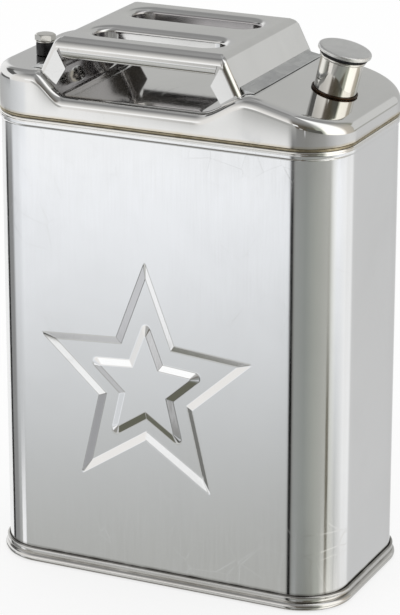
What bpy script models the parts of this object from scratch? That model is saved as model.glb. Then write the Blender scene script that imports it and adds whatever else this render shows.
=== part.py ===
"""Stainless steel jerry can, 20 litres, as an assembly of separate pieces.

Units are metres, +Z is up and +Y points to the back. The origin is the centre of
the footprint, on the ground, under the bottom rim. The star is on the front (-Y).
"""

import math

import bmesh
import bpy
from mathutils import Vector

# Clearances
GAP = 0.0003                 # between two pieces that touch
THREAD_GAP = 0.0004          # between a plug or screw and its threaded hole

# Body
BODY_WIDTH = 0.310
BODY_DEPTH = 0.166
CORNER_RADIUS = 0.040
CORNER_STEPS = 8
SHEET = 0.0010               # thickness of the body, lid and bottom sheets
SEAM_HEIGHT = 0.3906         # middle of the welded seam under the lid
SEAM_WIDTH = 0.0025
SEAM_INSET = 0.0005
SEAM_DEPTH = 0.0026
SHOULDER_HEIGHT = 0.0060     # rolled bead along the top edge of the body
SHOULDER_PROUD = 0.0012
SIDE_WELD_WIDTH = 0.0036
SIDE_WELD_PROUD = 0.0008
SIDE_WELD_MARGIN = 0.0100    # from the ends of the sheet to the ends of its weld

# Bottom rim and pan
RIM_HEIGHT = 0.0126
RIM_LOWER_PROUD = 0.0042
RIM_UPPER_PROUD = 0.0025
RIM_FLOOR = 0.0016
RIM_WALL = 0.0012
PAN_HEIGHT = 0.0110
PAN_BEND = 0.0025

# Star pressed into the front sheet
STAR_X = -0.0102
STAR_Z = 0.1748
STAR_RADIUS = 0.1045
STAR_WIDTH_FACTOR = 0.970
STAR_HEIGHT_FACTOR = 1.030
STAR_NOTCH = 0.443           # notch radius over tip radius
STAR_DEPTH = 0.0020
STAR_SLOPE = 0.0060          # width of the sloping edge of the recess
INNER_STAR_RADIUS = 0.0445
INNER_STAR_DROP = 0.0022     # of its middle below the outer star's

# Handle, folded from one sheet
PLATEAU_LENGTH = 0.0445      # from the left end of the can to the left foot
SHOULDER_LENGTH = 0.0835     # from the right foot to the right end
HANDLE_RISE = 0.0659         # from the seam to the upper face of the grip
HANDLE_FOOT_RISE = 0.0319    # from the seam to the feet, about
HANDLE_SETBACK = 0.0080      # from the front and back of the can
HANDLE_SHEET = 0.0012
HANDLE_SPREAD = 0.0170       # how far each end plate leans out on its way down
ROLL_RADIUS = 0.0100
ROLL_DROP = 0.0160
FOLD_SHARE = 0.5             # radius of the other folds over the roll's radius
FLANGE_WIDTH = 0.0222        # of each kite-shaped flange, at its widest
FLANGE_TOP = 0.0105          # from the grip down to the start of the flange
FLANGE_START = 0.0075        # from the end plate in to that start
FLANGE_MIDDLE = 0.0246       # from the grip down to the flange's widest place
FLANGE_LOW = 0.0384          # from the grip down to the flange's lowest corner
FLANGE_HEEL = 0.0300         # from the grip down to the end of its lower edge
SLIT_WIDTH = 0.0020
SLOT_END_MARGIN = 0.0170     # from the upper folds to the ends of the slots
SLOT_WIDTH = 0.0280
SLOT_FROM_EDGE = 0.0400      # from the handle's front or back to the middle of a slot
SLOT_COLLAR = 0.0115         # how deep the slot's edge is turned down
SLOT_DISH = 0.0100           # width of the hollow round each slot
SLOT_DISH_DROP = 0.0042
FOOT_WELD_RISE = 0.0062      # of the sloping strip, up the end plate
FOOT_WELD_REACH = 0.0090     # of the strip, out along the lid
FOOT_WELD_EDGE = 0.0006
FOOT_WELD_MARGIN = 0.0070

# Lid: heights are above the seam
LID_PROUD = 0.0010
LID_FILLET = 0.0090
PLATEAU_RISE = 0.0375
VALLEY_RISE = 0.0195
RIDGE_RISE = 0.0368
VALLEY_LEFT_MARGIN = 0.0275  # from the left foot of the handle to the valley floor
VALLEY_LEFT_SLOPE = 0.0280
VALLEY_RIGHT_MARGIN = 0.0370
VALLEY_RIGHT_SLOPE = 0.0440
RIDGE_FROM_END = 0.0720
RIDGE_ROUND = 0.0080
LID_STATIONS = 40

# Filler neck and cap: heights are above the lid, along the neck
NECK_FROM_END = 0.0360
NECK_LEAN = math.radians(14.0)
NECK_RADIUS = 0.0175
NECK_WALL = 0.0012
NECK_TOP = 0.0279
NECK_INSIDE = 0.0060
NECK_RING_RADIUS = 0.0196
NECK_RING_HEIGHT = 0.0018
SLEEVE_BORE = 0.0140
SLEEVE_DEPTH = 0.0140
LIP_RADIUS = 0.0188
LIP_HEIGHT = 0.0024
GASKET_RADIUS = 0.0196
GASKET_HEIGHT = 0.0026
CAP_RADIUS = 0.0218
CAP_HEIGHT = 0.0034
CAP_EDGE = 0.0012
PLUG_LENGTH = 0.0125
PLUG_WALL = 0.0020

# Vent screw
VENT_FROM_END = 0.0280
VENT_Y = -0.0270
VENT_BUSH_RADIUS = 0.0077
VENT_BUSH_HEIGHT = 0.0107
VENT_WASHER_RADIUS = 0.0079
VENT_WASHER_HEIGHT = 0.0010
VENT_HEAD_FLATS = 0.0150
VENT_HEAD_HEIGHT = 0.0052
VENT_SHANK_RADIUS = 0.0040
VENT_BOSS_RADIUS = 0.0080
VENT_BOSS_HEIGHT = 0.0080

ROUND_STEPS = 32
SMALL_STEPS = 24

HALF_X = BODY_WIDTH / 2
HALF_Y = BODY_DEPTH / 2
HANDLE_FOOT_HALF = (BODY_WIDTH - PLATEAU_LENGTH - SHOULDER_LENGTH) / 2
HANDLE_X = (PLATEAU_LENGTH - SHOULDER_LENGTH) / 2
HANDLE_Z = SEAM_HEIGHT + HANDLE_RISE
HANDLE_LENGTH = 2 * (HANDLE_FOOT_HALF - HANDLE_SPREAD)
HANDLE_DEPTH = BODY_DEPTH - 2 * HANDLE_SETBACK
HANDLE_DROP = HANDLE_RISE - HANDLE_FOOT_RISE
SLOT_LENGTH = HANDLE_LENGTH - 2 * SLOT_END_MARGIN
SLOT_SPACING = HANDLE_DEPTH - 2 * SLOT_FROM_EDGE
FOOT_WELD_LENGTH = HANDLE_DEPTH - 2 * FOOT_WELD_MARGIN
VALLEY_LEFT = HANDLE_X - HANDLE_FOOT_HALF + VALLEY_LEFT_MARGIN
VALLEY_RIGHT = HANDLE_X + HANDLE_FOOT_HALF - VALLEY_RIGHT_MARGIN
RIDGE_X = HALF_X - RIDGE_FROM_END
NECK_X = HALF_X - NECK_FROM_END
VENT_X = VENT_FROM_END - HALF_X

for old in list(bpy.data.objects):
    bpy.data.objects.remove(old, do_unlink=True)
for old in list(bpy.data.collections):
    bpy.data.collections.remove(old)

parts = bpy.data.collections.new("stainless_jerry_can")
cutters = bpy.data.collections.new("cutters")
bpy.context.scene.collection.children.link(parts)
bpy.context.scene.collection.children.link(cutters)


def make_material(name, colour, metallic, roughness):
    """A Principled material with one colour."""
    material = bpy.data.materials.new(name)
    material.use_nodes = True
    shader = material.node_tree.nodes["Principled BSDF"]
    shader.inputs["Base Color"].default_value = (*colour, 1.0)
    shader.inputs["Metallic"].default_value = metallic
    shader.inputs["Roughness"].default_value = roughness
    return material


def smoothstep(t):
    """Zero below 0, one above 1, and a smooth S between."""
    t = min(max(t, 0.0), 1.0)
    return t * t * (3.0 - 2.0 * t)


def lid_top(x):
    """Height of the lid's upper face at x: plateau, valley, ridge and sloping shoulder."""
    left = smoothstep((VALLEY_LEFT - x) / VALLEY_LEFT_SLOPE)
    right = smoothstep((x - VALLEY_RIGHT) / VALLEY_RIGHT_SLOPE)
    past = x - RIDGE_X
    if past > RIDGE_ROUND:
        run = past
    elif past > -RIDGE_ROUND:
        run = (past + RIDGE_ROUND) ** 2 / (4 * RIDGE_ROUND)
    else:
        run = 0.0
    rise = VALLEY_RISE + (PLATEAU_RISE - VALLEY_RISE) * left
    rise += (RIDGE_RISE - VALLEY_RISE) * right
    return SEAM_HEIGHT + rise - run * math.tan(NECK_LEAN)


def outline(inset=0.0):
    """Plan of the can, drawn in by inset: front run first, then round the corners."""
    half_x = HALF_X - inset
    half_y = HALF_Y - inset
    radius = CORNER_RADIUS - inset
    points = []
    for turn in range(4):
        sign_x = (1, 1, -1, -1)[turn]
        sign_y = (-1, 1, 1, -1)[turn]
        centre = Vector((sign_x * (half_x - radius), sign_y * (half_y - radius)))
        start = math.radians(-90 + 90 * turn)
        for step in range(CORNER_STEPS + 1):
            angle = start + math.radians(90) * step / CORNER_STEPS
            points.append(centre + radius * Vector((math.cos(angle), math.sin(angle))))
    return points


def arc(centre_x, centre_y, radius, start, end, steps):
    """Points on an arc, angles in degrees."""
    points = []
    for step in range(steps + 1):
        angle = math.radians(start + (end - start) * step / steps)
        points.append((centre_x + radius * math.cos(angle), centre_y + radius * math.sin(angle)))
    return points


def add_object(name, data, material=None, parent=None, collection=None):
    """Link a mesh or curve as a named object."""
    thing = bpy.data.objects.new(name, data)
    (collection or parts).objects.link(thing)
    if material:
        data.materials.append(material)
    if parent:
        thing.parent = parent
    return thing


def as_cutter(thing):
    """Move an object to the cutters, out of the model."""
    for home in list(thing.users_collection):
        home.objects.unlink(thing)
    cutters.objects.link(thing)
    thing.hide_render = True
    thing.display_type = "WIRE"
    return thing


def boolean(thing, other, operation):
    """Cut or join one object with another."""
    modifier = thing.modifiers.new(f"{operation.lower()}_{other.name}", "BOOLEAN")
    modifier.operation = operation
    modifier.object = other
    modifier.solver = "EXACT"


def smooth(thing, angle=35.0):
    """Shade smooth, with edges sharper than the angle kept sharp."""
    thing.data.shade_smooth()
    thing.data.set_sharp_from_angle(angle=math.radians(angle))


def mesh_from_bmesh(name, bm):
    """The mesh of a closed bmesh, with its faces pointing out."""
    bmesh.ops.recalc_face_normals(bm, faces=bm.faces)
    mesh = bpy.data.meshes.new(name)
    bm.to_mesh(mesh)
    bm.free()
    return mesh


def prism(name, points, low, high, axis="Z", taper=1.0, centre=(0.0, 0.0)):
    """A flat outline pushed along Z or Y from low to high, shrunk by taper at the high end.

    The outline's points are (x, y) for an axis of Z and (x, z) for an axis of Y.
    """
    across, along = ((0, 1), 2) if axis == "Z" else ((0, 2), 1)
    bm = bmesh.new()
    corners = []
    for point in points:
        place = Vector()
        place[across[0]], place[across[1]] = point
        place[along] = low
        corners.append(bm.verts.new(place))
    grown = bmesh.ops.extrude_face_region(bm, geom=[bm.faces.new(corners)])
    for vertex in [item for item in grown["geom"] if isinstance(item, bmesh.types.BMVert)]:
        vertex.co[along] = high
        for k, middle in zip(across, centre):
            vertex.co[k] = middle + (vertex.co[k] - middle) * taper
    return mesh_from_bmesh(name, bm)


def loft(name, outlines, heights):
    """A closed solid through (x, y) outlines with equal numbers of points, one at each height."""
    bm = bmesh.new()
    rings = []
    for outline_points, height in zip(outlines, heights):
        rings.append([bm.verts.new((x, y, height)) for x, y in outline_points])
    count = len(rings[0])
    for low, high in zip(rings, rings[1:]):
        for k in range(count):
            after = (k + 1) % count
            bm.faces.new((low[k], low[after], high[after], high[k]))
    bm.faces.new(list(reversed(rings[0])))
    bm.faces.new(rings[-1])
    return mesh_from_bmesh(name, bm)


def swept_ring(name, section, material):
    """A closed section (outset, height) carried round the plan of the can."""
    path_data = bpy.data.curves.new(f"{name}_path", "CURVE")
    path_data.dimensions = "2D"
    path_data.fill_mode = "NONE"
    route = outline()
    spline = path_data.splines.new("POLY")
    spline.points.add(len(route) - 1)
    for point, place in zip(spline.points, route):
        point.co = (place.x, place.y, 0.0, 1.0)
    spline.use_cyclic_u = True
    section_data = bpy.data.curves.new(f"{name}_section", "CURVE")
    section_data.dimensions = "2D"
    section_data.fill_mode = "NONE"
    border = section_data.splines.new("POLY")
    border.points.add(len(section) - 1)
    for point, (outset, height) in zip(border.points, section):
        point.co = (-outset, height, 0.0, 1.0)
    border.use_cyclic_u = True
    section_object = as_cutter(add_object(f"{name}_section", section_data))
    path_data.bevel_mode = "OBJECT"
    path_data.bevel_object = section_object
    path = add_object(f"{name}_path", path_data)
    bpy.context.view_layer.update()
    evaluated = path.evaluated_get(bpy.context.evaluated_depsgraph_get())
    mesh = bpy.data.meshes.new_from_object(evaluated)
    bpy.data.objects.remove(path, do_unlink=True)
    bpy.data.objects.remove(section_object, do_unlink=True)
    bm = bmesh.new()
    bm.from_mesh(mesh)
    bmesh.ops.remove_doubles(bm, verts=bm.verts, dist=0.00001)
    bmesh.ops.recalc_face_normals(bm, faces=bm.faces)
    bm.to_mesh(mesh)
    bm.free()
    mesh.materials.clear()
    ring = add_object(name, mesh, material)
    smooth(ring)
    return ring


def turned(name, profile, material, parent=None, steps=ROUND_STEPS, closed=False):
    """A profile (radius, height) turned about Z. It runs down its outer side."""
    bm = bmesh.new()
    vertices = [bm.verts.new((radius, 0.0, height)) for radius, height in profile]
    for first, second in zip(vertices, vertices[1:]):
        bm.edges.new((first, second))
    if closed:
        bm.edges.new((vertices[-1], vertices[0]))
    mesh = bpy.data.meshes.new(name)
    bm.to_mesh(mesh)
    bm.free()
    thing = add_object(name, mesh, material, parent)
    screw = thing.modifiers.new("turn", "SCREW")
    screw.steps = steps
    screw.render_steps = steps
    screw.use_merge_vertices = True
    screw.merge_threshold = 0.00001
    return thing


def tube_profile(outer, inner, low, high, edge=0.0):
    """Section of a ring, with its outer edges rounded by edge."""
    if edge == 0.0:
        return [(outer, high), (outer, low), (inner, low), (inner, high)]
    top = arc(outer - edge, high - edge, edge, 90, 0, 3)
    bottom = arc(outer - edge, low + edge, edge, 0, -90, 3)
    return top + bottom + [(inner, low), (inner, high)]


def empty(name, place, lean=0.0):
    """A frame that carries round pieces: Z along their axis."""
    frame = bpy.data.objects.new(name, None)
    parts.objects.link(frame)
    frame.location = place
    frame.rotation_euler = (0.0, lean, 0.0)
    return frame


polished = make_material("polished_steel", (0.80, 0.80, 0.78), 1.0, 0.12)
matte_steel = make_material("brushed_steel", (0.72, 0.72, 0.72), 1.0, 0.40)
weld_gold = make_material("weld_tint", (0.42, 0.34, 0.17), 1.0, 0.35)
braze = make_material("dark_braze", (0.10, 0.045, 0.02), 0.6, 0.35)
black_rubber = make_material("black_rubber", (0.015, 0.015, 0.017), 0.0, 0.45)


def star_points(radius, inset=0.0, drop=0.0):
    """Ten corners of the five-pointed star on the front, drawn in by inset.

    All ten edges lie at the same distance from the middle, so drawing the edges in
    by one width is the same as making the whole star smaller.
    """
    notch = radius * STAR_NOTCH
    edge = math.sqrt(radius ** 2 + notch ** 2 - 2 * radius * notch * math.cos(math.radians(36)))
    middle_to_edge = radius * notch * math.sin(math.radians(36)) / edge
    scale = (middle_to_edge - inset) / middle_to_edge
    points = []
    for corner in range(10):
        reach = (radius if corner % 2 == 0 else notch) * scale
        angle = math.radians(90 + 36 * corner)
        x = STAR_X + reach * math.cos(angle) * STAR_WIDTH_FACTOR
        z = STAR_Z - drop + reach * math.sin(angle) * STAR_HEIGHT_FACTOR
        points.append((x, z))
    return points, scale


def star_block(name, radius, inset, slope, low, high, drop=0.0):
    """A star that narrows by slope between y = low and y = high."""
    points, first = star_points(radius, inset, drop)
    second = star_points(radius, inset + slope)[1]
    return prism(name, points, low, high, "Y", second / first, (STAR_X, STAR_Z - drop))


def make_body():
    """The wrapper sheet: a rolled bead at its top and the star pressed into its front."""
    low = RIM_FLOOR + GAP
    high = SEAM_HEIGHT - SEAM_WIDTH / 2 - GAP
    bead_low = high - SHOULDER_HEIGHT
    bead = []
    for step in range(7):
        height = high - SHOULDER_HEIGHT * step / 6
        bead.append((SHOULDER_PROUD * math.sin(math.pi * (0.15 + 0.85 * step / 6)), height))
    section = bead + [(0.0, low), (-SHEET, low), (-SHEET, bead_low), (-SHEET, high)]
    body = swept_ring("body_shell", section, polished)
    face = -HALF_Y
    step = STAR_DEPTH
    pad = star_block("star_pad", STAR_RADIUS, -SHEET, STAR_SLOPE, face + SHEET / 2, face + SHEET + step)
    recess = star_block("star_recess", STAR_RADIUS, -STAR_SLOPE / 2, STAR_SLOPE * 1.5,
                        face - step / 2, face + step)
    boss = star_block("star_boss", INNER_STAR_RADIUS, 0.0, -STAR_SLOPE, face, face + step + SHEET / 2,
                      INNER_STAR_DROP)
    hollow = star_block("star_hollow", INNER_STAR_RADIUS, SHEET, -STAR_SLOPE, face + SHEET,
                        face + SHEET + step + SHEET, INNER_STAR_DROP)
    for mesh, operation in ((pad, "UNION"), (recess, "DIFFERENCE"), (boss, "UNION"),
                            (hollow, "DIFFERENCE")):
        boolean(body, as_cutter(add_object(mesh.name, mesh)), operation)
    return body


def make_side_weld():
    """The seam where the two ends of the wrapper meet, down the middle of the back."""
    low = RIM_HEIGHT + SIDE_WELD_MARGIN
    high = SEAM_HEIGHT - SEAM_WIDTH / 2 - SHOULDER_HEIGHT - SIDE_WELD_MARGIN
    back = HALF_Y + GAP
    half = SIDE_WELD_WIDTH / 2
    crown = []
    for step in range(7):
        angle = math.pi * step / 6
        crown.append((half * math.cos(angle), back + SIDE_WELD_PROUD * (0.25 + 0.75 * math.sin(angle))))
    points = crown + [(-half, back), (half, back)]
    return add_object("side_weld", prism("side_weld", points, low, high), weld_gold)


def make_bottom():
    """The bottom pan, its flange turned down, and the rolled rim that holds it."""
    rim = [(GAP, RIM_HEIGHT - 0.0008), (RIM_UPPER_PROUD * 0.5, RIM_HEIGHT)]
    upper_middle = RIM_HEIGHT * 0.80
    rim += [(RIM_UPPER_PROUD * 0.9, RIM_HEIGHT - 0.0010), (RIM_UPPER_PROUD, upper_middle)]
    rim += [(RIM_UPPER_PROUD * 0.8, RIM_HEIGHT * 0.64), (RIM_UPPER_PROUD * 0.7, RIM_HEIGHT * 0.58)]
    half = RIM_HEIGHT * 0.27
    rim += arc(RIM_LOWER_PROUD - half, half, half, 62, -60, 6)
    inner = -2 * SHEET - 2 * GAP
    rim += [(RIM_LOWER_PROUD - 1.6 * half, 0.0), (inner - RIM_WALL + 0.0004, 0.0)]
    rim += [(inner - RIM_WALL, 0.0004), (inner - RIM_WALL, PAN_HEIGHT - PAN_BEND - SHEET)]
    rim += [(inner - GAP, PAN_HEIGHT - PAN_BEND - SHEET), (inner - GAP, RIM_FLOOR), (GAP, RIM_FLOOR)]
    ring = swept_ring("bottom_rim", rim, polished)
    flange = SHEET + GAP
    bm = bmesh.new()
    levels = [(flange, RIM_FLOOR + GAP), (flange, PAN_HEIGHT - PAN_BEND)]
    for step in (1, 2, 3):
        angle = math.radians(30 * step)
        levels.append((flange + PAN_BEND * (1 - math.cos(angle)),
                       PAN_HEIGHT - PAN_BEND * (1 - math.sin(angle))))
    loops = []
    for inset, height in levels:
        loops.append([bm.verts.new((p.x, p.y, height)) for p in outline(inset)])
    for lower, upper in zip(loops, loops[1:]):
        for k in range(len(lower)):
            after = (k + 1) % len(lower)
            bm.faces.new((lower[k], lower[after], upper[after], upper[k]))
    bm.faces.new(loops[-1])
    mesh = mesh_from_bmesh("bottom_pan", bm)
    pan = add_object("bottom_pan", mesh, matte_steel)
    wall = pan.modifiers.new("sheet", "SOLIDIFY")
    wall.thickness = SHEET
    wall.offset = -1.0
    wall.use_even_offset = True
    smooth(pan)
    return ring, pan


def make_seam():
    """The welded seam between the body and the lid."""
    low = SEAM_HEIGHT - SEAM_WIDTH / 2
    high = SEAM_HEIGHT + SEAM_WIDTH / 2
    outer = -SEAM_INSET
    section = [(outer - 0.0003, high), (outer, SEAM_HEIGHT + SEAM_WIDTH * 0.2)]
    section += [(outer, SEAM_HEIGHT - SEAM_WIDTH * 0.2), (outer - 0.0003, low)]
    section += [(outer - SEAM_DEPTH, low), (outer - SEAM_DEPTH, high)]
    return swept_ring("lid_seam", section, weld_gold)


def lid_loop(inset):
    """Plan points of the lid, with stations along the front and back runs."""
    half_x = HALF_X + LID_PROUD - inset
    half_y = HALF_Y + LID_PROUD - inset
    radius = CORNER_RADIUS + LID_PROUD - inset
    quarter = arc(half_x - radius, -half_y + radius, radius, -90, 0, CORNER_STEPS)
    run = half_x - radius
    front = [(-run + 2 * run * k / LID_STATIONS, -half_y) for k in range(1, LID_STATIONS)]
    right = quarter + [(x, -y) for x, y in reversed(quarter)]
    left = [(-x, -y) for x, y in right]
    back = [(-x, -y) for x, y in front]
    return front + right + back + left


def make_lid():
    """The pressed lid: a skirt, a rounded edge and a top whose height follows x."""
    bm = bmesh.new()
    skirt = SEAM_HEIGHT + SEAM_WIDTH / 2 + GAP
    rings = [[bm.verts.new((x, y, skirt)) for x, y in lid_loop(0.0)]]
    for step in range(6):
        angle = math.radians(90 * step / 5)
        inset = LID_FILLET * (1 - math.cos(angle))
        drop = LID_FILLET * (1 - math.sin(angle))
        ring = [bm.verts.new((x, y, lid_top(x) - drop)) for x, y in lid_loop(inset)]
        rings.append(ring)
    for lower, upper in zip(rings, rings[1:]):
        for k in range(len(lower)):
            after = (k + 1) % len(lower)
            bm.faces.new((lower[k], lower[after], upper[after], upper[k]))
    edge = rings[-1]
    count = len(edge)
    front_count = LID_STATIONS - 1
    corner = CORNER_STEPS + 1
    front_row = edge[count - corner:] + edge[:front_count + corner]
    back_row = edge[front_count + corner:count - corner]
    back_row.reverse()
    for k in range(len(front_row) - 1):
        bm.faces.new((front_row[k], front_row[k + 1], back_row[k + 1], back_row[k]))
    mesh = mesh_from_bmesh("top_lid", bm)
    lid = add_object("top_lid", mesh, polished)
    wall = lid.modifiers.new("sheet", "SOLIDIFY")
    wall.thickness = SHEET
    wall.offset = -1.0
    wall.use_even_offset = True
    neck_hole = turned("neck_hole", [(0.0, 0.02), (NECK_RADIUS + GAP, 0.02),
                                     (NECK_RADIUS + GAP, -0.02), (0.0, -0.02)], None, neck_frame)
    vent_hole = turned("vent_hole", [(0.0, 0.02), (VENT_SHANK_RADIUS + GAP, 0.02),
                                     (VENT_SHANK_RADIUS + GAP, -0.02), (0.0, -0.02)], None, vent_frame,
                       SMALL_STEPS)
    boolean(lid, as_cutter(neck_hole), "DIFFERENCE")
    boolean(lid, as_cutter(vent_hole), "DIFFERENCE")
    smooth(lid)
    return lid


def stadium(centre_x, centre_y, length, width, grow=0.0):
    """Outline of a slot with round ends."""
    radius = width / 2 + grow
    half = length / 2 - width / 2
    points = arc(centre_x + half, centre_y, radius, -90, 90, 8)
    return points + arc(centre_x - half, centre_y, radius, 90, 270, 8)


def make_handle():
    """One folded sheet: grip with two slots, rolled edges, leaning end plates and flanges."""
    half_y = HANDLE_DEPTH / 2
    low = HANDLE_Z - HANDLE_DROP * 1.5
    top_half = HANDLE_LENGTH / 2
    low_half = top_half + HANDLE_SPREAD * 1.5
    bm = bmesh.new()
    bmesh.ops.create_cube(bm, size=2.0)
    for vertex in bm.verts:
        upper = vertex.co.z > 0
        reach = top_half if upper else low_half
        vertex.co = Vector((HANDLE_X + math.copysign(reach, vertex.co.x),
                            math.copysign(half_y, vertex.co.y), HANDLE_Z if upper else low))
    floor = [face for face in bm.faces if face.normal.z < -0.9]
    bmesh.ops.delete(bm, geom=floor, context="FACES")
    weights = bm.edges.layers.float.new("bevel_weight_edge")
    for edge in bm.edges:
        first, second = (vertex.co for vertex in edge.verts)
        both_up = min(first.z, second.z) > HANDLE_Z - 0.001
        along_x = abs(first.x - second.x) > top_half
        if both_up and along_x:
            edge[weights] = 1.0
        elif max(first.z, second.z) > HANDLE_Z - 0.001:
            edge[weights] = FOLD_SHARE
    mesh = bpy.data.meshes.new("handle")
    bm.to_mesh(mesh)
    bm.free()
    handle = add_object("handle", mesh, polished)
    bend = handle.modifiers.new("folds", "BEVEL")
    bend.width = ROLL_RADIUS
    bend.segments = 5
    bend.limit_method = "WEIGHT"
    bend.use_clamp_overlap = False
    wall = handle.modifiers.new("sheet", "SOLIDIFY")
    wall.thickness = HANDLE_SHEET
    wall.offset = -1.0
    wall.use_even_offset = True
    slot_rows = []
    for row, side in (("front", -1), ("back", 1)):
        def slot(grow):
            return stadium(HANDLE_X, side * SLOT_SPACING / 2, SLOT_LENGTH, SLOT_WIDTH, grow)
        rim = loft(f"collar_{row}", [slot(HANDLE_SHEET), slot(HANDLE_SHEET), slot(SLOT_DISH + HANDLE_SHEET)],
                   [HANDLE_Z - SLOT_COLLAR, HANDLE_Z - SLOT_DISH_DROP - HANDLE_SHEET,
                    HANDLE_Z - HANDLE_SHEET / 2])
        hole = loft(f"slot_{row}", [slot(0.0), slot(0.0), slot(SLOT_DISH * 1.1)],
                    [HANDLE_Z - 2 * SLOT_COLLAR, HANDLE_Z - SLOT_DISH_DROP, HANDLE_Z + SLOT_DISH_DROP * 0.1])
        slot_rows.append((rim, hole))
    for rim, hole in slot_rows:
        boolean(handle, as_cutter(add_object(rim.name, rim)), "UNION")
    for rim, hole in slot_rows:
        boolean(handle, as_cutter(add_object(hole.name, hole)), "DIFFERENCE")
    lean = HANDLE_SPREAD / HANDLE_DROP
    window = []
    for side in (1, -1):
        def plate_x(depth, inward):
            return HANDLE_X + side * (top_half + depth * lean - inward)
        depths = (ROLL_DROP, FLANGE_TOP - 1.35 * SLIT_WIDTH, FLANGE_TOP, FLANGE_MIDDLE, FLANGE_LOW,
                  FLANGE_HEEL, HANDLE_DROP * 2.0)
        inwards = (FLANGE_WIDTH - 3.5 * SLIT_WIDTH, FLANGE_START + 0.35 * SLIT_WIDTH, FLANGE_START,
                   FLANGE_WIDTH, FLANGE_WIDTH * 0.92, SLIT_WIDTH * 1.5, SLIT_WIDTH * 1.5)
        corner = [(plate_x(depth, inward), HANDLE_Z - depth) for depth, inward in zip(depths, inwards)]
        window.append(corner)
    border = window[0] + list(reversed(window[1]))
    for row, side in (("front", -1), ("back", 1)):
        near = side * (half_y - ROLL_RADIUS * 0.9)
        far = side * (half_y + ROLL_RADIUS)
        hole = prism(f"window_{row}", border, min(near, far), max(near, far), "Y")
        boolean(handle, as_cutter(add_object(f"window_{row}", hole)), "DIFFERENCE")
    reach = HANDLE_FOOT_HALF * 1.2
    steps = 48
    ground = []
    for k in range(steps + 1):
        x = HANDLE_X - reach + 2 * reach * k / steps
        ground.append((x, lid_top(x) + GAP))
    ground += [(HANDLE_X + reach, SEAM_HEIGHT - HANDLE_DROP), (HANDLE_X - reach, SEAM_HEIGHT - HANDLE_DROP)]
    under = prism("handle_ground", ground, -HANDLE_DEPTH, HANDLE_DEPTH, "Y")
    boolean(handle, as_cutter(add_object("handle_ground", under)), "DIFFERENCE")
    smooth(handle)
    return handle


def foot_place(side):
    """Height at which an end plate's outer face meets the lid."""
    lean = HANDLE_SPREAD / HANDLE_DROP
    depth = HANDLE_DROP
    for _ in range(40):
        depth = HANDLE_Z - lid_top(HANDLE_X + side * (HANDLE_LENGTH / 2 + depth * lean))
    return HANDLE_Z - depth


def make_foot_welds():
    """The sloping strip welded along the foot of each end plate."""
    lean = HANDLE_SPREAD / HANDLE_DROP
    clear = 1.4 * GAP
    stations = 6
    strips = []
    for name, side in (("left", -1), ("right", 1)):
        def plate_x(height):
            return HANDLE_X + side * (HANDLE_LENGTH / 2 + (HANDLE_Z - height) * lean + clear)
        foot = foot_place(side)
        inner = plate_x(foot + clear)
        outer = inner + side * FOOT_WELD_REACH
        points = [(plate_x(foot + FOOT_WELD_RISE), foot + FOOT_WELD_RISE),
                  (outer, lid_top(outer) + clear + FOOT_WELD_EDGE)]
        for k in range(stations + 1):
            x = outer + (inner - outer) * k / stations
            points.append((x, lid_top(x) + clear))
        strip = prism(f"foot_weld_{name}", points, -FOOT_WELD_LENGTH / 2, FOOT_WELD_LENGTH / 2, "Y")
        thing = add_object(f"foot_weld_{name}", strip, matte_steel)
        smooth(thing)
        strips.append(thing)
    return strips


def make_neck():
    """The filler neck: tube, braze ring at its foot and threaded sleeve with a lip."""
    turned("neck_tube", tube_profile(NECK_RADIUS, NECK_RADIUS - NECK_WALL, -NECK_INSIDE, NECK_TOP),
           matte_steel, neck_frame, closed=True)
    ring = tube_profile(NECK_RING_RADIUS, NECK_RADIUS + GAP, GAP, GAP + NECK_RING_HEIGHT, 0.0007)
    turned("neck_ring", ring, braze, neck_frame, closed=True)
    lip_low = NECK_TOP + GAP
    sleeve = NECK_RADIUS - NECK_WALL - GAP
    profile = [(LIP_RADIUS - 0.0005, lip_low + LIP_HEIGHT), (LIP_RADIUS, lip_low + LIP_HEIGHT * 0.6),
               (LIP_RADIUS, lip_low), (sleeve, lip_low), (sleeve, NECK_TOP - SLEEVE_DEPTH),
               (SLEEVE_BORE, NECK_TOP - SLEEVE_DEPTH), (SLEEVE_BORE, lip_low + LIP_HEIGHT)]
    turned("neck_sleeve", profile, matte_steel, neck_frame, closed=True)


def make_cap():
    """The filler cap: gasket, disc and threaded plug."""
    seat = NECK_TOP + GAP + LIP_HEIGHT + GAP
    plug = SLEEVE_BORE - THREAD_GAP
    turned("cap_gasket", tube_profile(GASKET_RADIUS, plug + GAP, seat, seat + GASKET_HEIGHT, 0.0004),
           black_rubber, neck_frame, closed=True)
    low = seat + GASKET_HEIGHT + GAP
    high = low + CAP_HEIGHT
    disc = [(0.0, high)] + arc(CAP_RADIUS - CAP_EDGE, high - CAP_EDGE, CAP_EDGE, 90, 0, 3)
    disc += [(CAP_RADIUS, low + 0.0004), (CAP_RADIUS - 0.0004, low), (0.0, low)]
    turned("cap_disc", disc, matte_steel, neck_frame)
    top = low - GAP
    profile = [(plug, top), (plug, top - PLUG_LENGTH), (plug - PLUG_WALL, top - PLUG_LENGTH),
               (plug - PLUG_WALL, top - PLUG_WALL), (0.0, top - PLUG_WALL)]
    turned("cap_plug", [(0.0, top)] + profile, matte_steel, neck_frame)


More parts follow.
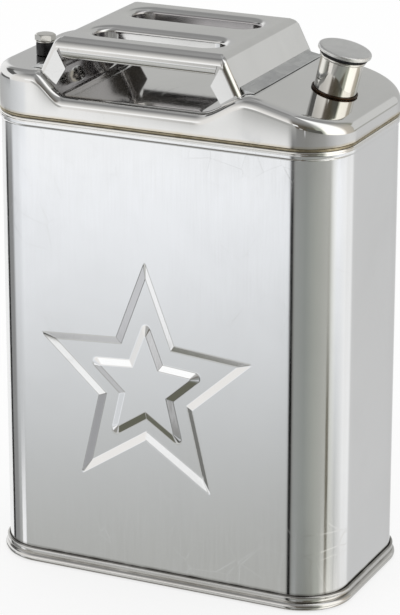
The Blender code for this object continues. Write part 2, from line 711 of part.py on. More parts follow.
def make_vent():
    """The vent: welded boss, black bush, washer and hexagon screw."""
    turned("vent_boss", tube_profile(VENT_BOSS_RADIUS, VENT_SHANK_RADIUS + THREAD_GAP,
                                     -SHEET - GAP - VENT_BOSS_HEIGHT, -SHEET - GAP),
           matte_steel, vent_frame, SMALL_STEPS, True)
    turned("vent_bush", tube_profile(VENT_BUSH_RADIUS, VENT_SHANK_RADIUS + THREAD_GAP, GAP,
                                     GAP + VENT_BUSH_HEIGHT, 0.0008),
           black_rubber, vent_frame, SMALL_STEPS, True)
    washer_low = VENT_BUSH_HEIGHT + 2 * GAP
    turned("vent_washer", tube_profile(VENT_WASHER_RADIUS, VENT_SHANK_RADIUS + GAP, washer_low,
                                       washer_low + VENT_WASHER_HEIGHT),
           matte_steel, vent_frame, SMALL_STEPS, True)
    head_low = washer_low + VENT_WASHER_HEIGHT + GAP
    bm = bmesh.new()
    across_corners = VENT_HEAD_FLATS / math.cos(math.radians(30))
    made = bmesh.ops.create_cone(bm, cap_ends=True, segments=6, radius1=across_corners / 2,
                                 radius2=across_corners / 2, depth=VENT_HEAD_HEIGHT)
    bmesh.ops.translate(bm, verts=made["verts"], vec=(0, 0, head_low + VENT_HEAD_HEIGHT / 2))
    screw = add_object("vent_screw", mesh_from_bmesh("vent_screw", bm), matte_steel, vent_frame)
    shank_low = -SHEET - GAP - VENT_BOSS_HEIGHT + 0.001
    shank = turned("vent_shank", [(0.0, head_low + VENT_HEAD_HEIGHT / 2),
                                  (VENT_SHANK_RADIUS, head_low + VENT_HEAD_HEIGHT / 2),
                                  (VENT_SHANK_RADIUS, shank_low + 0.0008),
                                  (VENT_SHANK_RADIUS - 0.0008, shank_low), (0.0, shank_low)],
                   None, vent_frame, SMALL_STEPS)
    crown = turned("vent_crown", [(0.0, head_low + VENT_HEAD_HEIGHT),
                                  (VENT_HEAD_FLATS / 2, head_low + VENT_HEAD_HEIGHT),
                                  (across_corners / 2 + 0.0004, head_low + VENT_HEAD_HEIGHT * 0.8),
                                  (across_corners / 2 + 0.0004, head_low - 0.001), (0.0, head_low - 0.001)],
                   None, vent_frame, SMALL_STEPS)
    boolean(screw, as_cutter(crown), "INTERSECT")
    boolean(screw, as_cutter(shank), "UNION")


neck_frame = empty("neck_axis", (NECK_X, 0.0, lid_top(NECK_X)), NECK_LEAN)
vent_frame = empty("vent_axis", (VENT_X, VENT_Y, lid_top(VENT_X)))
make_body()
make_side_weld()
make_bottom()
make_seam()
make_lid()
make_handle()
make_foot_welds()
make_neck()
make_cap()
make_vent()
bpy.context.view_layer.update()
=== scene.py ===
# %% [markdown]
# # A stainless steel jerry can
#
# The can is made of thin polished sheet: a wrapper with a star pressed into it, a
# lid with a deep valley under a folded handle, a leaning filler neck with a screw
# cap, and a small vent. Polished steel has almost no colour of its own. What the
# eye sees is the shape of the sheet bending the reflection of a bright room, so
# most of this lesson is about smooth surfaces, and the rest about that room.
#
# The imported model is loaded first. It stays where it is, and each piece made here
# takes the place of one of its nodes and moves with the same body.

# %% Load the fixed frame
import math

import bmesh
import bpy
import numpy as np
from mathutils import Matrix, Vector


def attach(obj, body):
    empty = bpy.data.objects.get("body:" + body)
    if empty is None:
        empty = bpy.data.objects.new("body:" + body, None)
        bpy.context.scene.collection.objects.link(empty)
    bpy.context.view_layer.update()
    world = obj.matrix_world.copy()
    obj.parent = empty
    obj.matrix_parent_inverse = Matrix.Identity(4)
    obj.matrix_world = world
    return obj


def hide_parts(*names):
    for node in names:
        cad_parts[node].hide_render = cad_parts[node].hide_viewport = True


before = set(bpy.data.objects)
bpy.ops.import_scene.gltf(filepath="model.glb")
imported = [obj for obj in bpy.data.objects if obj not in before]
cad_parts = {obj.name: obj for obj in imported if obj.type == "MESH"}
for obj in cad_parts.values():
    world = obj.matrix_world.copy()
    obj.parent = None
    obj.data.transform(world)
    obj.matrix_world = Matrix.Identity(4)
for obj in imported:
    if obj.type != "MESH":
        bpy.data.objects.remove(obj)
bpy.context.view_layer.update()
print("nodes in the frame:", ", ".join(sorted(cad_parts)))

# %% [markdown]
# ## Sizes
#
# These are the same lengths, in metres, that the solid model was made from. They
# are written out again here, because a piece that stands for a node has to fit the
# same neighbours. The front of the can is -Y, and +Z is up.

# %% Sizes shared with the solid model
GAP = 0.0003
HALF_X = 0.155
HALF_Y = 0.083
CORNER_RADIUS = 0.040
SHEET = 0.0010
SEAM_HEIGHT = 0.3906
SEAM_WIDTH = 0.0025
RIM_HEIGHT = 0.0126
RIM_FLOOR = 0.0016
NECK_LEAN = math.radians(14.0)
RUN_X = HALF_X - CORNER_RADIUS
RUN_Y = HALF_Y - CORNER_RADIUS
print(f"flat part of the front: {2000 * RUN_X:.0f} mm wide")

# %% [markdown]
# ## Meshes from arrays
#
# A sheet of metal is a grid of points. `grid_quads` numbers the four corners of
# every cell at once. A ring closes on itself from the last column to the first,
# and a loop from the last row to the first. Points that fall on each other, at a
# pole or where two grids meet, are merged, and a closed shape whose volume comes
# out negative is turned the right way round.

# %% Grids and meshes
MERGE_DISTANCE = 2e-6


def grid_quads(rows, columns, ring=False, loop=False):
    """Corner numbers of each cell of a grid stored row by row."""
    row = np.arange(rows if loop else rows - 1)[:, None]
    column = np.arange(columns if ring else columns - 1)[None, :]
    after = (row + 1) % rows
    right = (column + 1) % columns
    corners = [row * columns + column, row * columns + right,
               after * columns + right, after * columns + column]
    return np.stack(corners, axis=-1).reshape(-1, 4)


def make_mesh(name, grids, closed=True):
    """One mesh from (points, quads) grids, with shared points merged."""
    places = [np.asarray(points, dtype=float).reshape(-1, 3) for points, _ in grids]
    starts = np.cumsum([0] + [len(flat) for flat in places[:-1]])
    faces = [quads + start for (_, quads), start in zip(grids, starts)]
    mesh = bpy.data.meshes.new(name)
    mesh.from_pydata(np.concatenate(places).tolist(), [], np.concatenate(faces).tolist())
    bm = bmesh.new()
    bm.from_mesh(mesh)
    bmesh.ops.remove_doubles(bm, verts=bm.verts, dist=MERGE_DISTANCE)
    if closed and bm.calc_volume(signed=True) < 0:
        bmesh.ops.reverse_faces(bm, faces=bm.faces)
    bm.to_mesh(mesh)
    bm.free()
    return mesh


def ring_mesh(name, points, loop=False):
    """A mesh of one grid that closes from its last column to its first."""
    return make_mesh(name, [(points, grid_quads(*points.shape[:2], ring=True, loop=loop))])


def ease(t):
    """A soft step: t * t * (3 - 2 * t), held at 0 and 1."""
    t = np.clip(t, 0.0, 1.0)
    return t * t * (3 - 2 * t)


print("cells of a 3 by 4 grid closed both ways:", len(grid_quads(3, 4, ring=True, loop=True)))

# %% [markdown]
# ## Pieces
#
# `add_piece` puts a mesh into the scene as one named piece. It rides on a body of
# the frame, takes the place of the nodes that it stands for, and gets its material
# by name. Edges sharper than the given angle stay sharp, and all others are smooth.

# %% Pieces on the frame
def link_object(name, data):
    """An object on its data, linked into the scene."""
    thing = bpy.data.objects.new(name, data)
    bpy.context.scene.collection.objects.link(thing)
    return thing


def add_piece(name, mesh, look, body, nodes, angle=32.0):
    """Link a mesh as a piece that rides on a body, with its material given by name."""
    mesh.shade_smooth()
    mesh.set_sharp_from_angle(angle=math.radians(angle))
    mesh.materials.clear()
    mesh.materials.append(bpy.data.materials[look])
    piece = link_object(name, mesh)
    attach(piece, body)
    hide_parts(*nodes)
    print(f"{name}: {len(mesh.polygons)} faces")
    return piece


def evaluated(thing):
    """The mesh that an object's modifiers make. The object itself is removed."""
    bpy.context.view_layer.update()
    graph = bpy.context.evaluated_depsgraph_get()
    done = bpy.data.meshes.new_from_object(thing.evaluated_get(graph))
    bpy.data.objects.remove(thing, do_unlink=True)
    return done


def add_wall(thing, thickness):
    """A modifier that gives an open sheet a wall, growing inwards."""
    wall = thing.modifiers.new("wall", "SOLIDIFY")
    wall.thickness = thickness
    wall.offset = -1.0
    wall.use_even_offset = True


def walled(mesh, thickness):
    """The sheet as a closed wall."""
    sheet = link_object("sheet", mesh)
    add_wall(sheet, thickness)
    return evaluated(sheet)


# %% [markdown]
# ## Finishes
#
# Three things make polished steel look like metal and not like plastic: a fine
# grain that spreads each reflection a little, marks of handling that change how
# sharp it is from place to place, and heat tints beside the welds. The grain and
# the marks are used by several finishes, so each is a node group with its own
# inputs. They read object coordinates, so they stay on the metal when it moves.

# %% Nodes with their inputs
def set_inputs(tree, node, values):
    """Set inputs by name or number. A socket is linked. A colour may be one grey, and its alpha is 1."""
    for name, value in values.items():
        socket = node.inputs[name]
        if isinstance(value, bpy.types.NodeSocket):
            tree.links.new(value, socket)
        else:
            socket.default_value = (*np.broadcast_to(value, 3), 1.0) if socket.type == "RGBA" else value


def add_node(tree, kind, inputs=None, **settings):
    """A node with its inputs and properties. A setting is an input where one has its name."""
    node = tree.nodes.new(kind)
    inputs = dict(inputs or {})
    for name, value in settings.items():
        if name in node.inputs:
            inputs[name] = value
        else:
            setattr(node, name, value)
    set_inputs(tree, node, inputs)
    return node


def new_material(name):
    """A node material and its tree."""
    material = bpy.data.materials.new(name)
    material.use_nodes = True
    return material, material.node_tree


print("node helpers: set_inputs, add_node and new_material")

# %% Groups, maths and mixes
RANGE_INPUTS = ("From Min", "From Max", "To Min", "To Max")
MIX_INPUTS = (0, 6, 7)
MIX_RESULT = 2


def new_group(name, inputs, outputs):
    """A shader node group with (label, kind, value) inputs and (label, kind) outputs."""
    tree = bpy.data.node_groups.new(name, "ShaderNodeTree")
    for label, kind, *value in inputs:
        socket = tree.interface.new_socket(label, in_out="INPUT", socket_type="NodeSocket" + kind)
        if value:
            socket.default_value = value[0]
    for label, kind in outputs:
        tree.interface.new_socket(label, in_out="OUTPUT", socket_type="NodeSocket" + kind)
    return tree, tree.nodes.new("NodeGroupInput").outputs


def maths(tree, operation, *values, clamp=False):
    """A Math node on sockets or numbers."""
    node = add_node(tree, "ShaderNodeMath", dict(enumerate(values)), operation=operation, use_clamp=clamp)
    return node.outputs[0]


def remap(tree, value, *ends, kind="LINEAR"):
    """A value carried from one range to another, and held at the ends."""
    inputs = dict(zip(RANGE_INPUTS, ends), Value=value)
    return add_node(tree, "ShaderNodeMapRange", inputs, interpolation_type=kind).outputs["Result"]


def mix_colours(tree, factor, first, second, blend="MIX"):
    """Mix two colours by a factor. Each of the three is a socket or a value."""
    inputs = dict(zip(MIX_INPUTS, (factor, first, second)))
    node = add_node(tree, "ShaderNodeMix", inputs, data_type="RGBA", blend_type=blend)
    return node.outputs[MIX_RESULT]


print("inputs of a mix:", MIX_INPUTS, "and of a range:", RANGE_INPUTS)

# %% Grain of rolled sheet
def make_grain_group():
    """Noise stretched along one direction, as a height for bump and a value from 0 to 1."""
    tree, given = new_group(
        "rolled_grain",
        [("Vector", "Vector"), ("Stretch", "Vector", (1.0, 1.0, 0.03)), ("Scale", "Float", 900.0),
         ("Strength", "Float", 0.05), ("Normal", "Vector")],
        [("Grain", "Float"), ("Normal", "Vector")])
    long = add_node(tree, "ShaderNodeVectorMath", {0: given["Vector"], 1: given["Stretch"]},
                    operation="MULTIPLY")
    noise = add_node(tree, "ShaderNodeTexNoise", Vector=long.outputs[0], Scale=given["Scale"],
                     Detail=3.0, Roughness=0.6).outputs["Fac"]
    bump = add_node(tree, "ShaderNodeBump", Distance=0.0001, Strength=given["Strength"],
                    Height=noise, Normal=given["Normal"])
    add_node(tree, "NodeGroupOutput", Grain=noise, Normal=bump.outputs["Normal"])
    return tree


grain_group = make_grain_group()
print("nodes in the grain group:", len(grain_group.nodes))

# %% Marks of handling
def make_marks_group():
    """Soft patches and a few fine scratches, each from 0 to 1."""
    tree, given = new_group(
        "handling_marks",
        [("Vector", "Vector"), ("Patch Scale", "Float", 9.0), ("Scratch Scale", "Float", 40.0)],
        [("Patches", "Float"), ("Scratches", "Float")])
    place = given["Vector"]
    patch = add_node(tree, "ShaderNodeTexNoise", Vector=place, Scale=given["Patch Scale"], Detail=4.0,
                     Roughness=0.62, Distortion=0.4).outputs["Fac"]
    bend = add_node(tree, "ShaderNodeTexNoise", Vector=place, Scale=6.0, Detail=1.0).outputs["Color"]
    shift = add_node(tree, "ShaderNodeVectorMath", {0: bend, 1: (0.05, 0.05, 0.05), 2: place},
                     operation="MULTIPLY_ADD")
    turn = add_node(tree, "ShaderNodeMapping", Vector=shift.outputs[0], Rotation=(0.5, 0.4, 0.3),
                    Scale=(1.0, 0.05, 1.0))
    cells = add_node(tree, "ShaderNodeTexVoronoi", feature="DISTANCE_TO_EDGE", Vector=turn.outputs[0],
                     Scale=given["Scratch Scale"])
    line = remap(tree, cells.outputs["Distance"], 0.0, 0.012, 1.0, 0.0)
    sparse = remap(tree, patch, 0.52, 0.60, 0.0, 1.0)
    add_node(tree, "NodeGroupOutput", Patches=remap(tree, patch, 0.40, 0.70, 0.0, 1.0),
             Scratches=maths(tree, "MULTIPLY", line, sparse))
    return tree


marks_group = make_marks_group()
print("nodes in the marks group:", len(marks_group.nodes))

# %% [markdown]
# ### The steels
#
# `make_steel` builds one metal: its colour drifts a little between two tones with
# the patches, and the grain and the scratches change its roughness and its normal.
# A band is a ragged ring of colour about one height: straw heat tint beside the seam,
# and painted shade, a near-black band standing in for shadow, where the wrapper meets
# the rim, in the rim's groove and along its foot. The number that is the same
# everywhere, Metallic, is set on the shader itself.

# %% Steel finishes
SCRATCH_ROUGHNESS = 0.10


def wear(tree, grain, grain_scale, stretch, patch_scale):
    """Object coordinates, and the outputs of the grain and of the marks on them."""
    place = add_node(tree, "ShaderNodeTexCoord").outputs["Object"]
    fine = add_node(tree, "ShaderNodeGroup", node_tree=grain_group, Vector=place, Stretch=stretch,
                    Scale=grain_scale, Strength=grain)
    marks = add_node(tree, "ShaderNodeGroup", {"Vector": place, "Patch Scale": patch_scale},
                     node_tree=marks_group)
    return place, fine.outputs, marks.outputs


def tint_or_shade_band(tree, place, colour, middle, reach, amount, tint_or_shade):
    """Mix a band of heat tint or painted shade into a colour, strongest at one height and gone a reach away.
    """
    height = add_node(tree, "ShaderNodeSeparateXYZ", {0: place}).outputs["Z"]
    away = maths(tree, "ABSOLUTE", maths(tree, "SUBTRACT", height, middle))
    blot = add_node(tree, "ShaderNodeTexNoise", Vector=place, Scale=60.0, Detail=3.0).outputs["Fac"]
    ragged = maths(tree, "MULTIPLY", remap(tree, blot, 0.3, 0.7, 0.4, 1.0),
                   remap(tree, away, 0.0, reach, amount, 0.0))
    return mix_colours(tree, ragged, colour, tint_or_shade)


def make_steel(name, light, dark, roughness, spread, grain=0.05, grain_scale=900.0,
               stretch=(1.0, 1.0, 0.03), patch_scale=9.0, tints_and_shades=()):
    """A metal whose tone, roughness and normal drift with grain and handling."""
    tree = new_material(name)[1]
    place, fine, marks = wear(tree, grain, grain_scale, stretch, patch_scale)
    colour = mix_colours(tree, marks["Patches"], light, dark)
    for tint_or_shade in tints_and_shades:
        colour = tint_or_shade_band(tree, place, colour, *tint_or_shade)
    rough = remap(tree, fine["Grain"], 0.3, 0.7, roughness - spread, roughness + spread)
    rough = maths(tree, "MULTIPLY_ADD", marks["Patches"], spread, rough)
    rough = maths(tree, "MULTIPLY_ADD", marks["Scratches"], SCRATCH_ROUGHNESS, rough, clamp=True)
    set_inputs(tree, tree.nodes["Principled BSDF"],
               {"Metallic": 1.0, "Base Color": colour, "Roughness": rough, "Normal": fine["Normal"]})


# Straw is the heat tint of the welds. The dark colour after it is painted shade, for shadow in the rim's
# groove and along its edges.
STRAW = (0.62, 0.52, 0.34)
PAINTED_SHADE = (0.09, 0.08, 0.06)
EVEN = (1.0, 1.0, 1.0)
ALONG_X = (0.03, 1.0, 1.0)
STEELS = [
    # The wrapper's dark band at the rim's height is painted shade where it meets the rim.
    ("mirror_steel", (0.92, 0.925, 0.925), (0.885, 0.89, 0.89), 0.09, 0.02,
     {"tints_and_shades": [(SEAM_HEIGHT, 0.005, 0.45, STRAW), (RIM_HEIGHT, 0.0026, 1.0, PAINTED_SHADE)]}),
    ("lid_steel", (0.84, 0.84, 0.83), (0.79, 0.79, 0.78), 0.05, 0.02,
     {"grain": 0.03, "tints_and_shades": [(SEAM_HEIGHT, 0.004, 1.5, STRAW)]}),
    # The inside steel's darker colour is painted shade of the hollow under the handle, and it is also
    # rougher.
    ("inside_steel", (0.54, 0.525, 0.53), (0.40, 0.39, 0.395), 0.20, 0.03, {"stretch": ALONG_X}),
    ("strip_steel", (0.66, 0.67, 0.67), (0.50, 0.51, 0.52), 0.20, 0.05,
     {"grain": 0.15, "stretch": (1.0, 0.05, 1.0), "patch_scale": 50.0}),
    # The rim's three dark bands are painted shade: at its top, in its groove and along its foot.
    ("rim_steel", (0.76, 0.755, 0.74), (0.68, 0.67, 0.65), 0.12, 0.03,
     {"stretch": (0.05, 0.05, 1.0),
      "tints_and_shades": [(RIM_HEIGHT, 0.0014, 0.9, PAINTED_SHADE), (RIM_HEIGHT * 0.55, 0.0009, 0.8, PAINTED_SHADE),
                (0.0003, 0.0016, 0.8, PAINTED_SHADE)]}),
    ("handle_steel", (0.83, 0.83, 0.82), (0.77, 0.77, 0.76), 0.09, 0.02, {"stretch": ALONG_X}),
    ("neck_steel", (0.80, 0.79, 0.76), (0.72, 0.70, 0.65), 0.07, 0.02,
     {"grain": 0.08, "stretch": (1.0, 1.0, 0.10)}),
    ("satin_steel", (0.84, 0.845, 0.84), (0.76, 0.765, 0.76), 0.36, 0.06,
     {"grain": 0.30, "grain_scale": 700.0, "stretch": (1.0, 0.06, 1.0), "patch_scale": 30.0}),
    ("weld_steel", (0.44, 0.39, 0.28), (0.29, 0.25, 0.17), 0.34, 0.07,
     {"grain": 0.35, "grain_scale": 500.0, "stretch": EVEN, "patch_scale": 140.0}),
    ("braze_metal", (0.060, 0.032, 0.016), (0.025, 0.013, 0.008), 0.30, 0.08,
     {"grain": 0.40, "grain_scale": 600.0, "stretch": EVEN, "patch_scale": 160.0}),
    ("inner_steel", (0.62, 0.62, 0.61), (0.54, 0.54, 0.53), 0.38, 0.06,
     {"grain": 0.25, "grain_scale": 500.0, "stretch": EVEN, "patch_scale": 20.0}),
]
for name, *tones, others in STEELS:
    make_steel(name, *tones, **others)
print("steels:", ", ".join(row[0] for row in STEELS))

# %% [markdown]
# ### Rubber
#
# The gasket and the vent's bush are black rubber. The bush is wiped clean and
# shines, so its roughness only drifts a little, and a fine pore bump breaks up the
# highlight.

# %% Rubber finish
RUBBER_DRIFT = 0.12


def make_rubber(name, roughness):
    """Near-black rubber with pores and dusty patches."""
    tree = new_material(name)[1]
    pores, marks = wear(tree, 0.25, 1500.0, EVEN, 180.0)[1:]
    patches = marks["Patches"]
    set_inputs(tree, tree.nodes["Principled BSDF"], {
        "Specular IOR Level": 0.35,
        "Base Color": mix_colours(tree, patches, (0.006, 0.006, 0.007), (0.016, 0.016, 0.017)),
        "Roughness": remap(tree, patches, 0.0, 1.0, roughness, roughness + RUBBER_DRIFT),
        "Normal": pores["Normal"]})


for name, roughness in (("bush_rubber", 0.12), ("gasket_rubber", 0.45)):
    make_rubber(name, roughness)
    print(f"{name}: roughness from {roughness:.2f} to {roughness + RUBBER_DRIFT:.2f}")

# %% [markdown]
# ## Rounded outlines
#
# A metal edge is never perfectly sharp, and on polished steel the thin bright line
# along an edge comes from its small radius. `rounded` takes the corners of an
# outline and replaces each by a short curve that touches both of its sides.

# %% Round the corners of an outline
def rounded(corners, radii, steps=5, closed=True):
    """Each corner becomes a parabola from one side to the other, cut back by its radius."""
    corners = np.asarray(corners, dtype=float)
    radii = np.broadcast_to(np.asarray(radii, dtype=float), (len(corners),))
    before = np.roll(corners, 1, axis=0) - corners
    after = np.roll(corners, -1, axis=0) - corners
    length_before = np.linalg.norm(before, axis=1)
    length_after = np.linalg.norm(after, axis=1)
    cut = np.minimum(radii, 0.5 * np.minimum(length_before, length_after))[:, None]
    start = corners + before / length_before[:, None] * cut
    end = corners + after / length_after[:, None] * cut
    t = np.linspace(0.0, 1.0, steps + 1)[None, :, None]
    curve = (1 - t) ** 2 * start[:, None] + 2 * t * (1 - t) * corners[:, None] + t ** 2 * end[:, None]
    points = curve.reshape(-1, 2)
    if not closed:
        points = points[steps + 1:-(steps + 1)]
        points = np.vstack([corners[:1], points, corners[-1:]])
    keep = np.linalg.norm(np.diff(points, axis=0, append=points[:1]), axis=1) > 1e-7
    if not closed:
        keep[-1] = True
    return points[keep]


def round_arc(centre_x, centre_y, radius, start, end, steps):
    """Points on an arc from one angle to another, in degrees."""
    angle = np.radians(np.linspace(start, end, steps + 1))
    return np.stack([centre_x + radius * np.cos(angle), centre_y + radius * np.sin(angle)], axis=-1)


print("points of a rounded square:", len(rounded([(0, 0), (1, 0), (1, 1), (0, 1)], 0.2)))

# %% [markdown]
# ## The plan of the can
#
# Body, seam and rim all follow the same rounded rectangle. `plan` gives its points
# and, at each, the direction that points straight out. A profile of (outset,
# height) pairs carried along it makes a closed ring in one step.

# %% Rounded rectangle
FRONT_STATIONS = np.linspace(-RUN_X, RUN_X, 61)
SIDE_STATIONS = np.linspace(-RUN_Y, RUN_Y, 15)
CORNER_ANGLES = np.radians(np.linspace(0.0, 90.0, 29))[1:-1]


def plan(run_x=RUN_X, run_y=RUN_Y, radius=CORNER_RADIUS, front=FRONT_STATIONS, side=SIDE_STATIONS,
         corner=CORNER_ANGLES):
    """Points and outward directions: front run, right, back and left, with arcs between."""
    half_x = run_x + radius
    half_y = run_y + radius
    places = []
    outward = []
    for turn in range(4):
        sign_x = (1, 1, -1, -1)[turn]
        sign_y = (-1, 1, 1, -1)[turn]
        if turn % 2 == 0:
            run = np.stack([front * sign_x, np.full_like(front, sign_y * half_y)], axis=-1)
            straight = np.tile([0.0, float(sign_y)], (len(run), 1))
        else:
            run = np.stack([np.full_like(side, sign_x * half_x), side * sign_y], axis=-1)
            straight = np.tile([float(sign_x), 0.0], (len(run), 1))
        angle = corner + math.radians(-90 + 90 * turn)
        spokes = np.stack([np.cos(angle), np.sin(angle)], axis=-1)
        places += [run, np.array([sign_x * run_x, sign_y * run_y]) + radius * spokes]
        outward += [straight, spokes]
    return np.concatenate(places), np.concatenate(outward)


def carried_round(profile):
    """A profile of (outset, height) points at every point of the plan: place + outset * outward."""
    places, outward = plan()
    profile = np.asarray(profile)
    flat = places[None] + profile[:, 0][:, None, None] * outward[None]
    height = np.broadcast_to(profile[:, 1][:, None, None], flat.shape[:2] + (1,))
    return np.concatenate([flat, height], axis=-1)


print("points round the plan:", len(plan()[0]))

# %% [markdown]
# ## The wrapper with its star
#
# The real sheet is pressed before it is rolled: a die pushes a five-pointed star
# two millimetres in, and leaves a smaller star standing in its middle. A displaced
# flat grid would leave saw teeth along the slanted edges. So the middle of the
# front is a web instead. Each ring of the web is the star's own outline at another
# size, and how deep a ring lies depends on its size alone, so every edge comes out
# straight and clean. The corners of a ring are arcs, which grow with their distance
# from the inner star, like ripples round a stone. The outermost ring is the
# rectangle cut out of the wall's grid.

# %% Star sizes
STAR_CENTRE = np.array([-0.0102, 0.1748])
STAR_RADIUS = 0.1045
STAR_NOTCH = 0.443
STAR_FACTORS = np.array([0.970, 1.030])
STAR_DEPTH = 0.0020
STAR_SLOPE = 0.0060
INNER_STAR_RADIUS = 0.0445
INNER_STAR_DROP = 0.0022
DEEPER = 2.4
EASE = 0.09
CORNER_STEPS = 8
NOTCH_RADIUS = 0.0006
EDGE_SHARE = STAR_NOTCH * math.sin(math.radians(36)) / math.sqrt(
    1 + STAR_NOTCH ** 2 - 2 * STAR_NOTCH * math.cos(math.radians(36)))
OUTER_EDGE = EDGE_SHARE * STAR_RADIUS
INNER_EDGE = EDGE_SHARE * INNER_STAR_RADIUS
INNER_FOOT = INNER_EDGE + STAR_SLOPE
OUTER_FOOT = OUTER_EDGE - STAR_SLOPE
TIP_RADII = [(0.0, 0.0001), (INNER_EDGE, 0.0006), (INNER_FOOT, 0.0046), (OUTER_FOOT, 0.0003),
             (OUTER_EDGE, 0.0012)]
MIDDLE_SHARES = np.array([0.25, 0.5, 0.8])
BORDER_SHARES = np.array([0.06, 0.25, 0.5, 0.75, 1.0])
WEB_MARGIN = 0.0004
WEB_FLAT = 0.0015
print(f"edges of the stars: {1000 * OUTER_EDGE:.1f} and {1000 * INNER_EDGE:.1f} mm from the middle")

# %% Depth and outline
def soft_slope(t):
    """A straight slope from 0 to 1 that eases in and out: its steepness is a trapezium over t."""
    t = np.clip(t, 0.0, 1.0)
    start = np.minimum(t, EASE)
    end = np.clip(t - 1 + EASE, 0.0, None)
    return (t - start + (start ** 2 - end ** 2) / (2 * EASE)) / (1 - EASE)


def star_depth(reach):
    """Depth at a distance from the middle to the edge: in at the outer star, out at the inner."""
    return STAR_DEPTH * (soft_slope((OUTER_EDGE - reach) / STAR_SLOPE)
                         - soft_slope((INNER_FOOT - reach) / STAR_SLOPE))


def star_ring(reach, tip_radius):
    """The star whose edges lie at one distance from its middle, with an arc at every corner.

    A corner V of half angle h gets an arc of radius r about V - r / sin(h) along its spoke, and
    a notch the same with both signs turned.
    """
    number = np.arange(10)
    tip = number % 2 == 0
    spoke = np.radians(90 + 36 * number)
    way = np.stack([np.cos(spoke), np.sin(spoke)], axis=-1)
    corner = np.where(tip, 1.0, STAR_NOTCH)[:, None] * way * reach / EDGE_SHARE
    side = np.roll(corner, -1, axis=0) - corner
    after = np.arctan2(-side[:, 0], side[:, 1])
    before = np.roll(after, 1)
    turn = np.angle(np.exp(1j * (after - before)))
    radius = np.where(tip, tip_radius, -NOTCH_RADIUS)[:, None]
    centre = corner - radius / np.cos(turn / 2)[:, None] * way
    angle = before[:, None] + turn[:, None] * np.linspace(0.0, 1.0, CORNER_STEPS + 1)
    arc = np.stack([np.cos(angle), np.sin(angle)], axis=-1)
    return (centre[:, None] + radius[:, None] * arc).reshape(-1, 2) * STAR_FACTORS


print(f"depth between the stars: {1000 * star_depth(OUTER_FOOT):.1f} mm")
print("points in a star's outline:", len(star_ring(OUTER_EDGE, NOTCH_RADIUS)))

# %% Web of star rings
def star_web(border):
    """Rings from the middle of the star out to the border, all with the border's point count."""
    spoke_angle = np.radians(90 + 36 * np.arange(10))
    seen = border - STAR_CENTRE
    border_angle = np.arctan2(seen[:, 1], seen[:, 0])
    apart = np.abs(np.angle(np.exp(1j * (border_angle[None] - spoke_angle[:, None]))))
    middle = np.argmin(apart, axis=1)
    order = np.argsort(middle)
    knots = (middle[order][:, None] + np.arange(CORNER_STEPS + 1) - CORNER_STEPS // 2).ravel()
    count = len(border)
    place = knots[0] + (np.arange(count) - knots[0]) % count
    knots = np.append(knots, knots[0] + count)
    reach = np.concatenate([MIDDLE_SHARES * INNER_EDGE,
                            np.linspace(INNER_EDGE - WEB_MARGIN, INNER_FOOT + WEB_MARGIN, 21),
                            np.linspace(INNER_FOOT + WEB_FLAT, OUTER_FOOT - WEB_FLAT, 5),
                            np.linspace(OUTER_FOOT - WEB_MARGIN, OUTER_EDGE + WEB_MARGIN, 21)])
    rings = [np.zeros((count, 2))]
    for size, radius in zip(reach, np.interp(reach, *zip(*TIP_RADII))):
        ring = star_ring(size, radius).reshape(10, CORNER_STEPS + 1, 2)[order].reshape(-1, 2)
        ring = np.vstack([ring, ring[:1]])
        rings.append(np.stack([np.interp(place, knots, ring[:, axis]) for axis in (0, 1)], axis=-1))
    reach = np.append(0.0, reach)
    lowered = np.interp(reach, [INNER_FOOT, OUTER_FOOT], [INNER_STAR_DROP, 0.0])
    rings = STAR_CENTRE + np.array(rings)
    rings[..., 1] -= lowered[:, None]
    depth = star_depth(reach)[:, None] * (1 - DEEPER * (rings[..., 1] - STAR_CENTRE[1]))
    share = BORDER_SHARES[:, None, None]
    flat = rings[-1] * (1 - share) + border * share
    rings = np.concatenate([rings, flat])
    depth = np.concatenate([depth, np.zeros(flat.shape[:2])])
    return np.stack([rings[..., 0], -HALF_Y + depth, rings[..., 1]], axis=-1)


# %% Wrapper sheet with its shoulder
BODY_LOW = RIM_FLOOR + GAP
BODY_HIGH = SEAM_HEIGHT - SEAM_WIDTH / 2 - GAP
SHOULDER_HEIGHT = 0.0068
SHOULDER_PROUD = 0.0010
SHOULDER_STEP = 0.26
SHOULDER_START = 0.0006
GROOVE_MIDDLE = 0.68
GROOVE_HALF = 0.055
GROOVE_DEPTH = 0.16
FALL_START = 0.78
FALL_DEPTH = 0.55
FIRST_ROW = 0.012
WINDOW_LOW = 0.024
WINDOW_HIGH = 0.372


def shoulder_outset(share):
    """Outset over the shoulder's height: a soft step out, a fine groove and a fall to the seam."""
    groove = np.exp(-((share - GROOVE_MIDDLE) / GROOVE_HALF) ** 2)
    fall = (np.clip(share - FALL_START, 0.0, None) / (1 - FALL_START)) ** 2
    return SHOULDER_PROUD * (ease(share / SHOULDER_STEP) - GROOVE_DEPTH * groove - FALL_DEPTH * fall)


